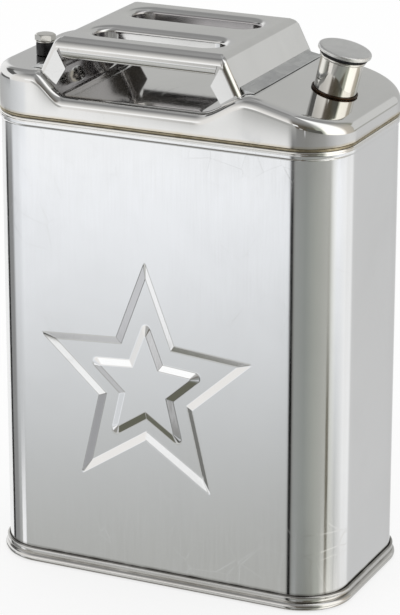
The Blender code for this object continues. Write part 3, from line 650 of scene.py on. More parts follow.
def make_wrapper():
    """The wall as a grid of plan points by heights, with the web in place of its front."""
    share = np.linspace(0.0, 1.0, 33)
    shoulder = BODY_HIGH - SHOULDER_HEIGHT * (1 - share)
    window = np.linspace(WINDOW_LOW, WINDOW_HIGH, 88)
    height = np.concatenate([[BODY_LOW, FIRST_ROW], window, [shoulder[0] - SHOULDER_START], shoulder])
    outset = np.zeros_like(height)
    outset[-len(share):] = shoulder_outset(share)
    wall = carried_round(np.stack([outset, height], axis=-1))
    quads = grid_quads(*wall.shape[:2], ring=True)
    row, column = np.divmod(np.arange(len(quads)), wall.shape[1])
    first = 2
    last = first + len(window) - 1
    across = len(FRONT_STATIONS) - 1
    cut = (row >= first) & (row < last) & (column < across)
    front = wall[:, :across + 1][:, :, [0, 2]]
    border = np.concatenate([front[first, :-1], front[first:last, -1],
                             front[last, :0:-1], front[last:first:-1, 0]])
    web = star_web(border)
    web_quads = grid_quads(*web.shape[:2], ring=True)[:, ::-1]
    return make_mesh("wrapper_sheet", [(wall, quads[~cut]), (web, web_quads)], closed=False)


add_piece("wrapper_sheet", walled(make_wrapper(), SHEET), "mirror_steel", "can", ["body_shell"],
          50.0)

# %% [markdown]
# ## Seam and rim
#
# The lid is welded to the wrapper all the way round. The weld is a low bead, gold
# where it was hot. The rim under the can is a strip rolled over twice: a narrow
# upper band, a groove, and a round lower roll.

# %% Welded seam under the lid
SEAM_PROUD = 0.0011
SEAM_ROOT = 0.0031


def make_seam_bead():
    """A section with an elliptic front, carried round the plan."""
    half = SEAM_WIDTH / 2
    front = SEAM_PROUD, half
    outer = round_arc(0.0, 0.0, 1.0, -75, 75, 12) * front + [0.0, SEAM_HEIGHT]
    section = np.vstack([outer, [[-SEAM_ROOT, SEAM_HEIGHT + half], [-SEAM_ROOT, SEAM_HEIGHT - half]]])
    return ring_mesh("seam_bead", carried_round(section), loop=True)


add_piece("seam_bead", make_seam_bead(), "weld_steel", "can", ["lid_seam"])

# %% Rolled bottom rim
LOWER_PROUD = 0.0042
UPPER_PROUD = 0.0025
ROLL_HALF = RIM_HEIGHT * 0.27
BAND_ROOT = 0.0112
BAND_LOW = RIM_HEIGHT * 0.66
GROOVE_HEIGHT = RIM_HEIGHT * 0.57
GROOVE_PROUD = UPPER_PROUD * 0.55
RIM_INSIDE = -2 * SHEET - 2 * GAP
RIM_WALL = 0.0012
PAN_HEIGHT = 0.0110
PAN_BEND = 0.0025
WALL_TOP = PAN_HEIGHT - PAN_BEND - SHEET


def make_rim():
    """The section of the rim: upper band, groove, lower roll, foot and inner wall."""
    upper = rounded([(GAP, BAND_ROOT), (0.0006, RIM_HEIGHT), (UPPER_PROUD, RIM_HEIGHT - 0.0006),
                     (UPPER_PROUD, BAND_LOW), (GROOVE_PROUD, GROOVE_HEIGHT)],
                    [0.0, 0.0004, 0.0013, 0.0013, 0.0], 6, closed=False)
    lower = round_arc(LOWER_PROUD - ROLL_HALF, ROLL_HALF, ROLL_HALF, 66, -80, 16)
    foot = rounded([(LOWER_PROUD - ROLL_HALF, 0.0), (RIM_INSIDE - RIM_WALL, 0.0),
                    (RIM_INSIDE - RIM_WALL, WALL_TOP), (RIM_INSIDE - GAP, WALL_TOP),
                    (RIM_INSIDE - GAP, RIM_FLOOR), (GAP, RIM_FLOOR)],
                   [0.0, 0.0005, 0.0002, 0.0002, 0.0003, 0.0], 3, closed=False)
    return ring_mesh("rolled_rim", carried_round(np.vstack([upper, lower, foot])), loop=True)


add_piece("rolled_rim", make_rim(), "rim_steel", "can", ["bottom_rim"], 50.0)

# %% [markdown]
# ## The lid
#
# Seen from the front the lid is one curve: a plateau for the vent, a valley for the
# hand, and a shoulder that slopes down under the neck. `lid_top` is that curve. The
# edge all round is a quarter circle rolled down to a short skirt. The top is a grid
# of straight rungs from front to back. Where the neck and the vent pass through,
# cells are left out and the cut points are moved onto a true circle.

# %% Lid profile
PLATEAU_RISE = 0.0375
VALLEY_RISE = 0.0195
RIDGE_RISE = 0.0368
VALLEY_LEFT = -0.083
VALLEY_RIGHT = 0.0345
VALLEY_LEFT_SLOPE = 0.028
VALLEY_RIGHT_SLOPE = 0.044
RIDGE_X = 0.083
RIDGE_ROUND = 0.008
LID_PROUD = 0.0010
LID_FILLET = 0.0090
NECK_X = 0.119
NECK_RADIUS = 0.0175
VENT_X = -0.127
VENT_Y = -0.027
VENT_HOLE = 0.0043


def lid_top(x):
    """Height over x: two smooth steps up from the valley, less the shoulder's slope past the ridge."""
    x = np.asarray(x, dtype=float)
    past = x - RIDGE_X
    run = np.where(past > RIDGE_ROUND, past, np.clip(past + RIDGE_ROUND, 0.0, None) ** 2 / (4 * RIDGE_ROUND))
    rise = VALLEY_RISE + (PLATEAU_RISE - VALLEY_RISE) * ease((VALLEY_LEFT - x) / VALLEY_LEFT_SLOPE)
    rise = rise + (RIDGE_RISE - VALLEY_RISE) * ease((x - VALLEY_RIGHT) / VALLEY_RIGHT_SLOPE)
    return SEAM_HEIGHT + rise - run * math.tan(NECK_LEAN)


NECK_BASE = np.array([NECK_X, 0.0, float(lid_top(NECK_X))])
VENT_BASE = np.array([VENT_X, VENT_Y, float(lid_top(VENT_X))])
print("neck stands at", NECK_BASE.round(4), "and vent at", VENT_BASE.round(4))

# %% Lid sheet
def open_hole(grid, quads, centre, radii):
    """Drop the cells inside an ellipse and move the points of the cut edge onto it."""
    flat = grid.reshape(-1, 3)
    offset = (flat[:, :2] - centre) / radii
    distance = np.linalg.norm(offset, axis=1)
    inside = distance < 1.0
    quads = quads[~inside[quads].all(axis=1)]
    used = np.zeros(len(flat), dtype=bool)
    used[quads.ravel()] = True
    edge = inside & used
    flat[edge, :2] = centre + offset[edge] / distance[edge, None] * radii
    flat[edge, 2] = lid_top(flat[edge, 0])
    return flat.reshape(grid.shape), quads


def make_lid():
    """Rings of the rolled edge round a ladder of rungs, all on the same profile."""
    front = np.linspace(-RUN_X, RUN_X, 121)
    side = np.linspace(-RUN_Y, RUN_Y, 45)
    corner = np.radians(np.linspace(0.0, 90.0, 25))[1:-1]
    turn = np.radians(np.linspace(0.0, 90.0, 13))
    insets = np.append(0.0, LID_FILLET * (1 - np.cos(turn)))
    drops = np.append(0.0, LID_FILLET * (1 - np.sin(turn)))
    rings = []
    for inset, drop in zip(insets, drops):
        places = plan(radius=CORNER_RADIUS + LID_PROUD - inset, front=front, side=side, corner=corner)[0]
        rings.append(np.column_stack([places, lid_top(places[:, 0]) - drop]))
    rings = np.array(rings)
    rings[0, :, 2] = SEAM_HEIGHT + SEAM_WIDTH / 2 + GAP
    edge = rings[-1]
    corner_count = len(corner)
    right = len(front) + corner_count
    back = right + len(side) + corner_count
    left = back + len(front) + corner_count
    front_row = np.vstack([edge[left + len(side) - 1:], edge[:right + 1]])
    back_row = np.vstack([edge[right + len(side) - 1:left + 1]])[::-1]
    share = np.linspace(0.0, 1.0, len(side))[None, :, None]
    ladder = front_row[:, None] * (1 - share) + back_row[:, None] * share
    ladder_quads = grid_quads(*ladder.shape[:2])[:, ::-1]
    for centre, radii in ((NECK_BASE[:2], (NECK_RADIUS + GAP) * np.array([math.cos(NECK_LEAN), 1.0])),
                          (VENT_BASE[:2], VENT_HOLE * np.ones(2))):
        ladder, ladder_quads = open_hole(ladder, ladder_quads, centre, radii)
    grids = [(rings, grid_quads(*rings.shape[:2], ring=True)), (ladder, ladder_quads)]
    return make_mesh("pressed_lid", grids, closed=False)


add_piece("pressed_lid", walled(make_lid(), SHEET), "lid_steel", "can", ["top_lid"], 50.0)

# %% [markdown]
# ## The handle
#
# One sheet makes the grip: two long slots with turned-down rims, front and back
# edges rolled over, end plates that lean out to the lid, and small kite-shaped
# flanges folded round from them. A folded sheet is a box without a floor, so it
# starts as one, and bevels with many segments make the folds. The slots and
# windows are cut out of it. A weighted normal at the end keeps the flats flat.

# %% Handle sizes
HANDLE_X = -0.0195
HANDLE_Z = 0.4565
HANDLE_LENGTH = 0.148
HANDLE_DEPTH = 0.150
HANDLE_DROP = 0.034
HANDLE_SHEET = 0.0012
HANDLE_SPREAD = 0.0170
HANDLE_FOOT_HALF = 0.091
ROLL_RADIUS = 0.0100
ROLL_DROP = 0.0160
FOLD_SHARE = 0.5
BOX_DROP = 1.5
FLANGE_WIDTH = 0.0222
FLANGE_TOP = 0.0105
FLANGE_START = 0.0075
LIP_START = 0.0090
LIP_SLOPE = 0.95
FLANGE_MIDDLE = 0.0246
FLANGE_LOW = 0.0384
FLANGE_HEEL = 0.0300
SLIT_WIDTH = 0.0020
SLIT_START = FLANGE_START + 0.35 * SLIT_WIDTH
HEEL_WIDTH = 1.5 * SLIT_WIDTH
SLOT_LENGTH = 0.114
SLOT_WIDTH = 0.0280
SLOT_SPACING = 0.070
SLOT_COLLAR = 0.0115
SLOT_DISH = 0.0100
SLOT_DISH_DROP = 0.0042
LEAN = HANDLE_SPREAD / HANDLE_DROP
print(f"end plates lean {math.degrees(math.atan(LEAN)):.0f} degrees")

# %% Slot outline and cutters
def stadium(centre_y, grow, steps=24):
    """Outline of a slot grown by an amount: two half circles joined by straight sides."""
    radius = SLOT_WIDTH / 2 + grow
    half = SLOT_LENGTH / 2 - SLOT_WIDTH / 2
    right = round_arc(HANDLE_X + half, centre_y, radius, -90, 90, steps)
    left = round_arc(HANDLE_X - half, centre_y, radius, 90, 270, steps)
    return np.vstack([right, left])


def lofted_cutter(name, loops, heights):
    """A closed solid through stacked outlines, as a hidden cutter."""
    loops = np.asarray(loops)
    levels = np.broadcast_to(np.asarray(heights)[:, None, None], loops.shape[:2] + (1,))
    wall = np.concatenate([loops, levels], axis=-1)
    centre_low = np.broadcast_to(wall[0].mean(axis=0), wall[0].shape)
    centre_high = np.broadcast_to(wall[-1].mean(axis=0), wall[0].shape)
    points = np.concatenate([centre_low[None], wall, centre_high[None]])
    return ring_mesh(name, points)


def side_cutter(name, border, near, far):
    """An (x, z) outline pushed along y from near to far."""
    border = np.asarray(border)
    bm = bmesh.new()
    corners = [bm.verts.new((x, near, z)) for x, z in border]
    grown = bmesh.ops.extrude_face_region(bm, geom=[bm.faces.new(corners)])
    for item in grown["geom"]:
        if isinstance(item, bmesh.types.BMVert):
            item.co.y = far
    bmesh.ops.recalc_face_normals(bm, faces=bm.faces)
    mesh = bpy.data.meshes.new(name)
    bm.to_mesh(mesh)
    bm.free()
    return mesh


def apply_boolean(mesh, cutter, operation):
    """The mesh after one exact cut or union."""
    first = link_object("first", mesh)
    second = link_object("second", cutter)
    step = first.modifiers.new("step", "BOOLEAN")
    step.operation = operation
    step.object = second
    step.solver = "EXACT"
    done = evaluated(first)
    bpy.data.objects.remove(second, do_unlink=True)
    return done


print("points round a slot:", len(stadium(0.0, 0.0)))

# %% Fold the sheet
def folded_box():
    """A box without a floor, its folds bevelled and its wall given a thickness."""
    top_half = HANDLE_LENGTH / 2
    low_half = top_half + HANDLE_SPREAD * BOX_DROP
    bm = bmesh.new()
    bmesh.ops.create_cube(bm, size=2.0)
    for vertex in bm.verts:
        x, y, z = vertex.co
        reach, height = (top_half, HANDLE_Z) if z > 0 else (low_half, HANDLE_Z - HANDLE_DROP * BOX_DROP)
        vertex.co = (HANDLE_X + x * reach, y * HANDLE_DEPTH / 2, height)
    bm.normal_update()
    bmesh.ops.delete(bm, geom=[face for face in bm.faces if face.normal.z < -0.9], context="FACES")
    weights = bm.edges.layers.float.new("bevel_weight_edge")
    for edge in bm.edges:
        first, second = (vertex.co for vertex in edge.verts)
        both_up = min(first.z, second.z) > HANDLE_Z - 0.001
        if both_up and abs(first.x - second.x) > top_half:
            edge[weights] = 1.0
        elif max(first.z, second.z) > HANDLE_Z - 0.001:
            edge[weights] = FOLD_SHARE
    mesh = bpy.data.meshes.new("folded_box")
    bm.to_mesh(mesh)
    bm.free()
    box = link_object("folded_box", mesh)
    bend = box.modifiers.new("folds", "BEVEL")
    bend.width = ROLL_RADIUS
    bend.segments = 14
    bend.limit_method = "WEIGHT"
    bend.use_clamp_overlap = False
    add_wall(box, HANDLE_SHEET)
    return evaluated(box)


print(f"folds of {1000 * ROLL_RADIUS:.0f} mm in a {1000 * HANDLE_SHEET:.1f} mm sheet")

# %% Cut the slots and windows
def window_border():
    """The (x, z) outline between roll, plates and kites, mirrored about the handle's middle."""
    depth, inward = np.array([
        (ROLL_DROP, FLANGE_WIDTH - 3.5 * SLIT_WIDTH), (FLANGE_TOP - 1.35 * SLIT_WIDTH, SLIT_START),
        (FLANGE_TOP, FLANGE_START), (FLANGE_MIDDLE, FLANGE_WIDTH), (FLANGE_LOW, FLANGE_WIDTH * 0.92),
        (FLANGE_HEEL, HEEL_WIDTH), (HANDLE_DROP * 2.0, HEEL_WIDTH)]).T
    reach = HANDLE_LENGTH / 2 + depth * LEAN - inward
    right = np.column_stack([HANDLE_X + reach, HANDLE_Z - depth])
    left = np.column_stack([HANDLE_X - reach, HANDLE_Z - depth])
    return np.vstack([right, left[::-1]])


def curl_lips(mesh):
    """Carry each roll on below its upright: y moves in by R - sqrt(R * R - d * d) at a depth d under it."""
    bm = bmesh.new()
    bm.from_mesh(mesh)
    for depth in np.linspace(ROLL_RADIUS, ROLL_DROP, 9)[:-1]:
        bmesh.ops.bisect_plane(bm, geom=[*bm.verts, *bm.edges, *bm.faces], plane_co=(0, 0, HANDLE_Z - depth),
                               plane_no=(0, 0, 1), dist=1e-7)
    place = np.array([vertex.co for vertex in bm.verts])
    depth = HANDLE_Z - place[:, 2]
    inward = HANDLE_LENGTH / 2 + depth * LEAN - np.abs(place[:, 0] - HANDLE_X)
    between = inward > LIP_START + LIP_SLOPE * (depth - FLANGE_TOP)
    outside = np.abs(place[:, 1]) > HANDLE_DEPTH / 2 - 2 * HANDLE_SHEET
    lip = between & outside & (depth > ROLL_RADIUS) & (depth < ROLL_DROP + 1e-4)
    under = np.clip(depth - ROLL_RADIUS, 0.0, ROLL_DROP - ROLL_RADIUS)
    curl = ROLL_RADIUS - np.sqrt(ROLL_RADIUS ** 2 - under ** 2)
    place[lip, 1] -= (np.sign(place[:, 1]) * curl)[lip]
    for vertex, moved in zip(bm.verts, place):
        vertex.co = moved
    bm.to_mesh(mesh)
    bm.free()


def make_handle():
    """The folded box with collars joined, slots cut, windows cut and feet trimmed to the lid.

    A dish is a quarter of an ellipse: out = width * (1 - cos t), up = -depth * (1 - sin t).
    """
    mesh = folded_box()
    turn = np.radians(np.linspace(0.0, 90.0, 13))
    out = SLOT_DISH * (1 - np.cos(turn))
    up = -SLOT_DISH_DROP * (1 - np.sin(turn))
    under = up - HANDLE_SHEET * np.linspace(1.0, 0.6, len(turn))
    steps = [("collar", "UNION", HANDLE_SHEET + np.append(0.0, out), np.append(-SLOT_COLLAR, under)),
             ("slot", "DIFFERENCE", np.concatenate([[0.0], out, [SLOT_DISH]]),
              np.concatenate([[-2 * SLOT_COLLAR], up, [SLOT_COLLAR]]))]
    for name, operation, grow, rise in steps:
        for side in (-1, 1):
            loops = [stadium(side * SLOT_SPACING / 2, amount) for amount in grow]
            mesh = apply_boolean(mesh, lofted_cutter(name, loops, HANDLE_Z + rise), operation)
    half_y = HANDLE_DEPTH / 2
    for side in (-1, 1):
        reach = sorted((side * (half_y - ROLL_RADIUS * 0.9), side * (half_y + ROLL_RADIUS)))
        mesh = apply_boolean(mesh, side_cutter("window", window_border(), *reach), "DIFFERENCE")
    curl_lips(mesh)
    x = HANDLE_X + HANDLE_FOOT_HALF * 1.2 * np.linspace(-1.0, 1.0, 121)
    ground = np.column_stack([x, lid_top(x) + GAP])
    below = SEAM_HEIGHT - HANDLE_DROP
    ground = np.vstack([ground, [[x[-1], below], [x[0], below]]])
    return apply_boolean(mesh, side_cutter("ground", ground, -HANDLE_DEPTH, HANDLE_DEPTH), "DIFFERENCE")


handle = add_piece("folded_handle", make_handle(), "handle_steel", "can", ["handle"], 30.0)
soften = handle.modifiers.new("flat_flats", "WEIGHTED_NORMAL")
soften.mode = "FACE_AREA"
soften.weight = 90
soften.keep_sharp = True

# %% Painted shade inside the handle
# Faces under the grip that turn inwards get a second steel, rougher and darker. Its darker colour is painted
# shade of the hollow under the handle.
INSIDE_FACING = 0.25
handle.data.materials.append(bpy.data.materials["inside_steel"])
for face in handle.data.polygons:
    inwards = Vector((HANDLE_X, 0.0, HANDLE_Z - HANDLE_DROP)) - face.center
    under = face.center.z < HANDLE_Z - HANDLE_SHEET * 0.6
    if under and face.normal.dot(inwards.normalized()) > INSIDE_FACING:
        face.material_index = 1
print("shaded faces:", sum(face.material_index for face in handle.data.polygons))

# %% [markdown]
# ## Foot strips
#
# A narrow strip covers the joint between each end plate and the lid. Its section
# starts on the plate, bends out in a hollow curve and ends in a thin edge.

# %% Sloping strips
STRIP_RISE = 0.0062
STRIP_REACH = 0.0090
STRIP_EDGE = 0.0006
STRIP_LENGTH = 0.136
STRIP_GAP = 1.4 * GAP
STRIP_BEND = np.array([0.0012, -0.0016])


def plate_x(side, height, clear=0.0):
    """Where an end plate's outer face stands at a height."""
    return HANDLE_X + side * (HANDLE_LENGTH / 2 + (HANDLE_Z - height) * LEAN + clear)


def foot_place(side):
    """Height at which an end plate's outer face meets the lid, found by repeating."""
    height = HANDLE_Z - HANDLE_DROP
    for _ in range(40):
        height = float(lid_top(plate_x(side, height)))
    return height


def make_strip(name, side):
    """The strip's (x, z) section pushed along y."""
    foot = foot_place(side)
    high = foot + STRIP_RISE
    top = np.array([plate_x(side, high, STRIP_GAP), high])
    inner = plate_x(side, foot + STRIP_GAP, STRIP_GAP)
    outer = inner + side * STRIP_REACH
    edge = [outer - side * 0.0002, float(lid_top(outer)) + STRIP_GAP + STRIP_EDGE]
    upper = rounded([top, top + STRIP_BEND * (side, 1), edge], [0.0, 0.0016, 0.0], 8, closed=False)
    under = np.linspace(outer, inner, 13)
    section = np.vstack([upper, np.column_stack([under, lid_top(under) + STRIP_GAP])])
    return side_cutter(name, section, -STRIP_LENGTH / 2, STRIP_LENGTH / 2)


for name, side in (("left", -1), ("right", 1)):
    add_piece(f"foot_strip_{name}", make_strip(f"foot_strip_{name}", side), "strip_steel", "can",
              [f"foot_weld_{name}"], 35.0)

# %% [markdown]
# ## Turned pieces
#
# Neck, ring, sleeve, cap, gasket, plug and bush are all round. Each is a profile of
# (radius, height) pairs turned about its axis, and then stood on the lid. The neck's
# axis leans outwards by the same angle as the shoulder under it.

# %% Turn a profile and stand it on the lid
NECK_STAND = (NECK_BASE, NECK_LEAN, 96, 35.0)
VENT_STAND = (VENT_BASE, 0.0, 72, 32.0)


def circle(steps):
    """Angles round a full turn."""
    return np.linspace(0.0, 2 * math.pi, steps, endpoint=False)


def level(angle, radius, height):
    """Rings of points: x = r cos a, y = r sin a, z = h."""
    x, y, z = np.broadcast_arrays(radius * np.cos(angle), radius * np.sin(angle), height)
    return np.stack([x, y, z], axis=-1)


def stand(points, base, lean):
    """Lean points about the Y axis and move them to the base."""
    x = points[..., 0] * math.cos(lean) + points[..., 2] * math.sin(lean)
    z = points[..., 2] * math.cos(lean) - points[..., 0] * math.sin(lean)
    return np.stack([x, points[..., 1], z], axis=-1) + base


def ring_section(first, second, low, high):
    """The corners of a ring's section: down at the first radius and up at the second."""
    return [(first, high), (first, low), (second, low), (second, high)]


def turned_piece(name, profile, place, look, body, nodes, closed=True):
    """A profile turned about the axis of its place: base, lean, steps and sharp angle."""
    base, lean, steps, angle = place
    points = stand(level(circle(steps), profile[:, :1], profile[:, 1:]), base, lean)
    add_piece(name, ring_mesh(name, points, loop=closed), look, body, nodes, angle)


# %% Filler neck
NECK_WALL = 0.0012
NECK_TOP = 0.0279
NECK_INSIDE = 0.0060
NECK_RING_RADIUS = 0.0191
NECK_RING_HEIGHT = 0.0013
SLEEVE_BORE = 0.0140
SLEEVE_OUTSIDE = NECK_RADIUS - NECK_WALL - GAP
SLEEVE_LOW = NECK_TOP - 0.0140
LIP_RADIUS = 0.0188
LIP_LOW = NECK_TOP + GAP
LIP_TOP = LIP_LOW + 0.0024
LIP_ROUND = 0.0011
EDGE_ROUND = 0.0003

tube = rounded(ring_section(NECK_RADIUS, NECK_RADIUS - NECK_WALL, -NECK_INSIDE, NECK_TOP), EDGE_ROUND)
turned_piece("filler_tube", tube, NECK_STAND, "neck_steel", "can", ["neck_tube"])
braze = rounded(ring_section(NECK_RADIUS + GAP, NECK_RING_RADIUS, GAP, NECK_RING_HEIGHT + GAP),
                [0.0002, 0.0002, 0.0007, 0.0008], 6)
turned_piece("braze_fillet", braze, NECK_STAND, "braze_metal", "can", ["neck_ring"])
sleeve = rounded([(LIP_RADIUS, LIP_TOP), (LIP_RADIUS, LIP_LOW), (SLEEVE_OUTSIDE, LIP_LOW),
                  (SLEEVE_OUTSIDE, SLEEVE_LOW), (SLEEVE_BORE, SLEEVE_LOW), (SLEEVE_BORE, LIP_TOP)],
                 [LIP_ROUND, LIP_ROUND, 0.0, EDGE_ROUND, EDGE_ROUND, 0.0004])
turned_piece("neck_collar", sleeve, NECK_STAND, "neck_steel", "can", ["neck_sleeve"])

# %% Cap and gasket
GASKET_RADIUS = 0.0196
GASKET_LOW = LIP_TOP + GAP
GASKET_TOP = GASKET_LOW + 0.0026
CAP_RADIUS = 0.0218
CAP_LOW = GASKET_TOP + GAP
CAP_TOP = CAP_LOW + 0.0034
CAP_FLAT = CAP_RADIUS - 0.0012
CAP_SIDE = CAP_TOP - 0.0010
CAP_RINGS = [0.004, 0.010, 0.016]
PLUG_RADIUS = 0.0136

gasket = rounded(ring_section(GASKET_RADIUS, PLUG_RADIUS + GAP, GASKET_LOW, GASKET_TOP), 0.0005)
turned_piece("cap_washer", gasket, NECK_STAND, "gasket_rubber", "cap_seal", ["cap_gasket"])
disc = rounded([(0.0, CAP_TOP), (CAP_FLAT, CAP_TOP), (CAP_RADIUS, CAP_SIDE), (CAP_RADIUS, CAP_LOW),
                (0.0, CAP_LOW)], [0.0, 0.0008, 0.0008, 0.0006, 0.0], 6, closed=False)
disc = np.vstack([disc[:1], [[radius, CAP_TOP] for radius in CAP_RINGS], disc[1:]])
turned_piece("cap_top", disc, NECK_STAND, "satin_steel", "cap", ["cap_disc"], closed=False)

# %% Threads and the cap's plug
PLUG_LENGTH = 0.0125
PLUG_WALL = 0.0020
PLUG_PITCH = 0.0025
PLUG_THREAD = 0.0007
PLUG_ENDS = PLUG_RADIUS - 0.0011
THREAD_START = 0.0006


def threaded(angle, radius, low, high, pitch, depth, rows):
    """A wall of radius - depth * (1 - wave). The wave runs along height / pitch less the angle."""
    height = np.linspace(low, high, rows)[:, None]
    wave = 0.5 + 0.5 * np.cos(2 * math.pi * height / pitch - angle)
    fade = np.clip(np.minimum(height - low, high - height) / (0.5 * pitch), 0.0, 1.0)
    return level(angle, radius - depth * (1 - wave * fade), height)


def make_plug():
    """Threaded outside, hollow inside, closed at the top."""
    angle = circle(96)
    top = CAP_LOW - GAP
    low = top - PLUG_LENGTH
    bore = PLUG_RADIUS - PLUG_WALL
    inside = [(0.0, top - PLUG_WALL), (bore, top - PLUG_WALL), (bore, low), (PLUG_ENDS, low)]
    thread = threaded(angle, PLUG_RADIUS, low + THREAD_START, top - THREAD_START, PLUG_PITCH,
                      PLUG_THREAD, 72)
    rows = [*(level(angle, *row) for row in inside), *thread,
            level(angle, PLUG_ENDS, top), level(angle, 0.0, top)]
    return ring_mesh("cap_thread", stand(np.array(rows), NECK_BASE, NECK_LEAN))


add_piece("cap_thread", make_plug(), "inner_steel", "cap", ["cap_plug"], 50.0)

# %% [markdown]
# ## The vent
#
# A small hexagon screw lets air in. It stands on a washer and a glossy black bush.
# The head is a hexagon whose top corners are turned off by a cone, which leaves the
# curved lines that every real bolt head has.

# %% Vent bush, washer and screw
BUSH_RADIUS = 0.0077
BUSH_TOP = GAP + 0.0107
WASHER_RADIUS = 0.0079
WASHER_LOW = BUSH_TOP + GAP
WASHER_TOP = WASHER_LOW + 0.0010
HEAD_RADIUS = 0.0075
HEAD_LOW = WASHER_TOP + GAP
HEAD_TOP = HEAD_LOW + 0.0052
CROWN_RADIUS = HEAD_RADIUS * 0.96
CROWN_SLOPE = math.radians(32)
SHANK_RADIUS = 0.0040
SHANK_LOW = -SHEET - GAP - 0.0070
SCREW_PITCH = 0.00125
SCREW_THREAD = 0.0005
SCREW_POINT = 0.0009

bush = rounded(ring_section(BUSH_RADIUS, SHANK_RADIUS + 0.0004, GAP, BUSH_TOP),
               [0.0012, 0.0008, 0.0002, 0.0002], 6)
turned_piece("vent_grommet", bush, VENT_STAND, "bush_rubber", "can", ["vent_bush"])
washer = rounded(ring_section(WASHER_RADIUS, SHANK_RADIUS + GAP, WASHER_LOW, WASHER_TOP), EDGE_ROUND)
turned_piece("vent_ring", washer, VENT_STAND, "neck_steel", "vent_seal", ["vent_washer"])


def make_screw():
    """Rows from the top pole down: turned crown, six flats, underside, threaded shank and tip."""
    angle = circle(72)
    sixth = math.radians(60)
    flats = HEAD_RADIUS / np.cos((angle + sixth / 2) % sixth - sixth / 2)
    turned_down = HEAD_TOP - (flats - CROWN_RADIUS) * math.tan(CROWN_SLOPE)
    head = [(0.0, HEAD_TOP), (CROWN_RADIUS * 0.5, HEAD_TOP), (CROWN_RADIUS - 0.0002, HEAD_TOP),
            (CROWN_RADIUS, HEAD_TOP - 0.00005), (flats, turned_down), (flats, HEAD_LOW + EDGE_ROUND),
            (flats - EDGE_ROUND, HEAD_LOW), (SHANK_RADIUS - EDGE_ROUND, HEAD_LOW)]
    thread = threaded(angle, SHANK_RADIUS, SHANK_LOW + SCREW_POINT, HEAD_LOW - 0.0004, SCREW_PITCH,
                      SCREW_THREAD, 150)
    rows = [*(level(angle, *row) for row in head), *thread[::-1],
            level(angle, SHANK_RADIUS - SCREW_POINT, SHANK_LOW), level(angle, 0.0, SHANK_LOW)]
    return ring_mesh("vent_bolt", stand(np.array(rows), VENT_BASE, 0.0))


add_piece("vent_bolt", make_screw(), "neck_steel", "vent", ["vent_screw"], 25.0)

# %% [markdown]
# ## Nodes that stay
#
# The pan under the can, the weld down its back and the threaded boss inside are
# right as they are. They keep their meshes and get finished steel.

# %% Finish the remaining nodes
for name, look in (("bottom_pan", "inner_steel"), ("side_weld", "weld_steel"), ("vent_boss", "inner_steel")):
    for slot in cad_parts[name].material_slots:
        slot.material = bpy.data.materials[look]
    print(f"{name}: {look}")

# %% [markdown]
# ## The room
#
# A polished can is photographed inside a white tent with a few dark gaps, and those
# gaps draw its edges. The world plays the tent: its colour depends only on the
# direction of the ray. Walls, skirt and ceiling are each split by compass direction.
# The walls darken towards the floor, and a soft skirt meets them at the horizon. The
# ceiling is grey but for a bright gap on the right, and mixes into the upper walls
# as they rise. The camera sees plain white, and diffuse light is even. The floor
# takes the shadow, and mirrors look through it, so that the tent alone decides what
# they show.

# %% Ramps and cards
CARD_INPUTS = ("Middle", "Half Width", "Low", "High", "Softness", "Card")


def ramp(tree, value, stops):
    """A colour ramp through (position, tone) stops, where a tone is a grey or a colour."""
    node = add_node(tree, "ShaderNodeValToRGB", Fac=value)
    elements = node.color_ramp.elements
    while len(elements) < len(stops):
        elements.new(0.5)
    for element, (position, tone) in zip(elements, stops):
        element.position = position
        element.color = (*np.broadcast_to(tone, 3), 1.0)
    return node.outputs["Color"]


def make_card_group():
    """A soft-edged card hung in the tent, mixed over what is under it.

    Share = (distance in compass from the middle is under the half width)
          * (elevation is over the low edge) * (elevation is under the high edge).
    """
    numbers = ("Compass", "Elevation", *CARD_INPUTS[:-1])
    tree, given = new_group(
        "tent_card", [(label, "Float") for label in numbers] + [("Under", "Color"), ("Card", "Color")],
        [("Color", "Color")])

    def step(value, edge, *ends):
        """From one end to the other, over the softness about an edge."""
        past = maths(tree, "DIVIDE", maths(tree, "SUBTRACT", value, given[edge]), given["Softness"])
        return remap(tree, past, -0.5, 0.5, *ends, kind="SMOOTHSTEP")

    apart = maths(tree, "WRAP", maths(tree, "SUBTRACT", given["Compass"], given["Middle"]), 180.0, -180.0)
    across = step(maths(tree, "ABSOLUTE", apart), "Half Width", 1.0, 0.0)
    low = step(given["Elevation"], "Low", 0.0, 1.0)
    high = step(given["Elevation"], "High", 1.0, 0.0)
    share = maths(tree, "MULTIPLY", across, maths(tree, "MULTIPLY", low, high))
    add_node(tree, "NodeGroupOutput", Color=mix_colours(tree, share, given["Under"], given["Card"]))
    return tree


card_group = make_card_group()
print("inputs of a card:", ", ".join(CARD_INPUTS))

# %% [markdown]
# ### Cards in the tent
#
# Each row is one card: the compass direction of its middle, its half width, its low
# and high edges and its softness in degrees, and its tone. Later cards hang in
# front of earlier ones. The back cards shade the flat top of the lid and the grip.
# The edge cards hang near the horizon, for the neck and the rolled edges. The front
# cards draw the dark lines beside the corner and under the shoulder, and the star
# cards the small dark and light shapes seen in the slopes of the star.

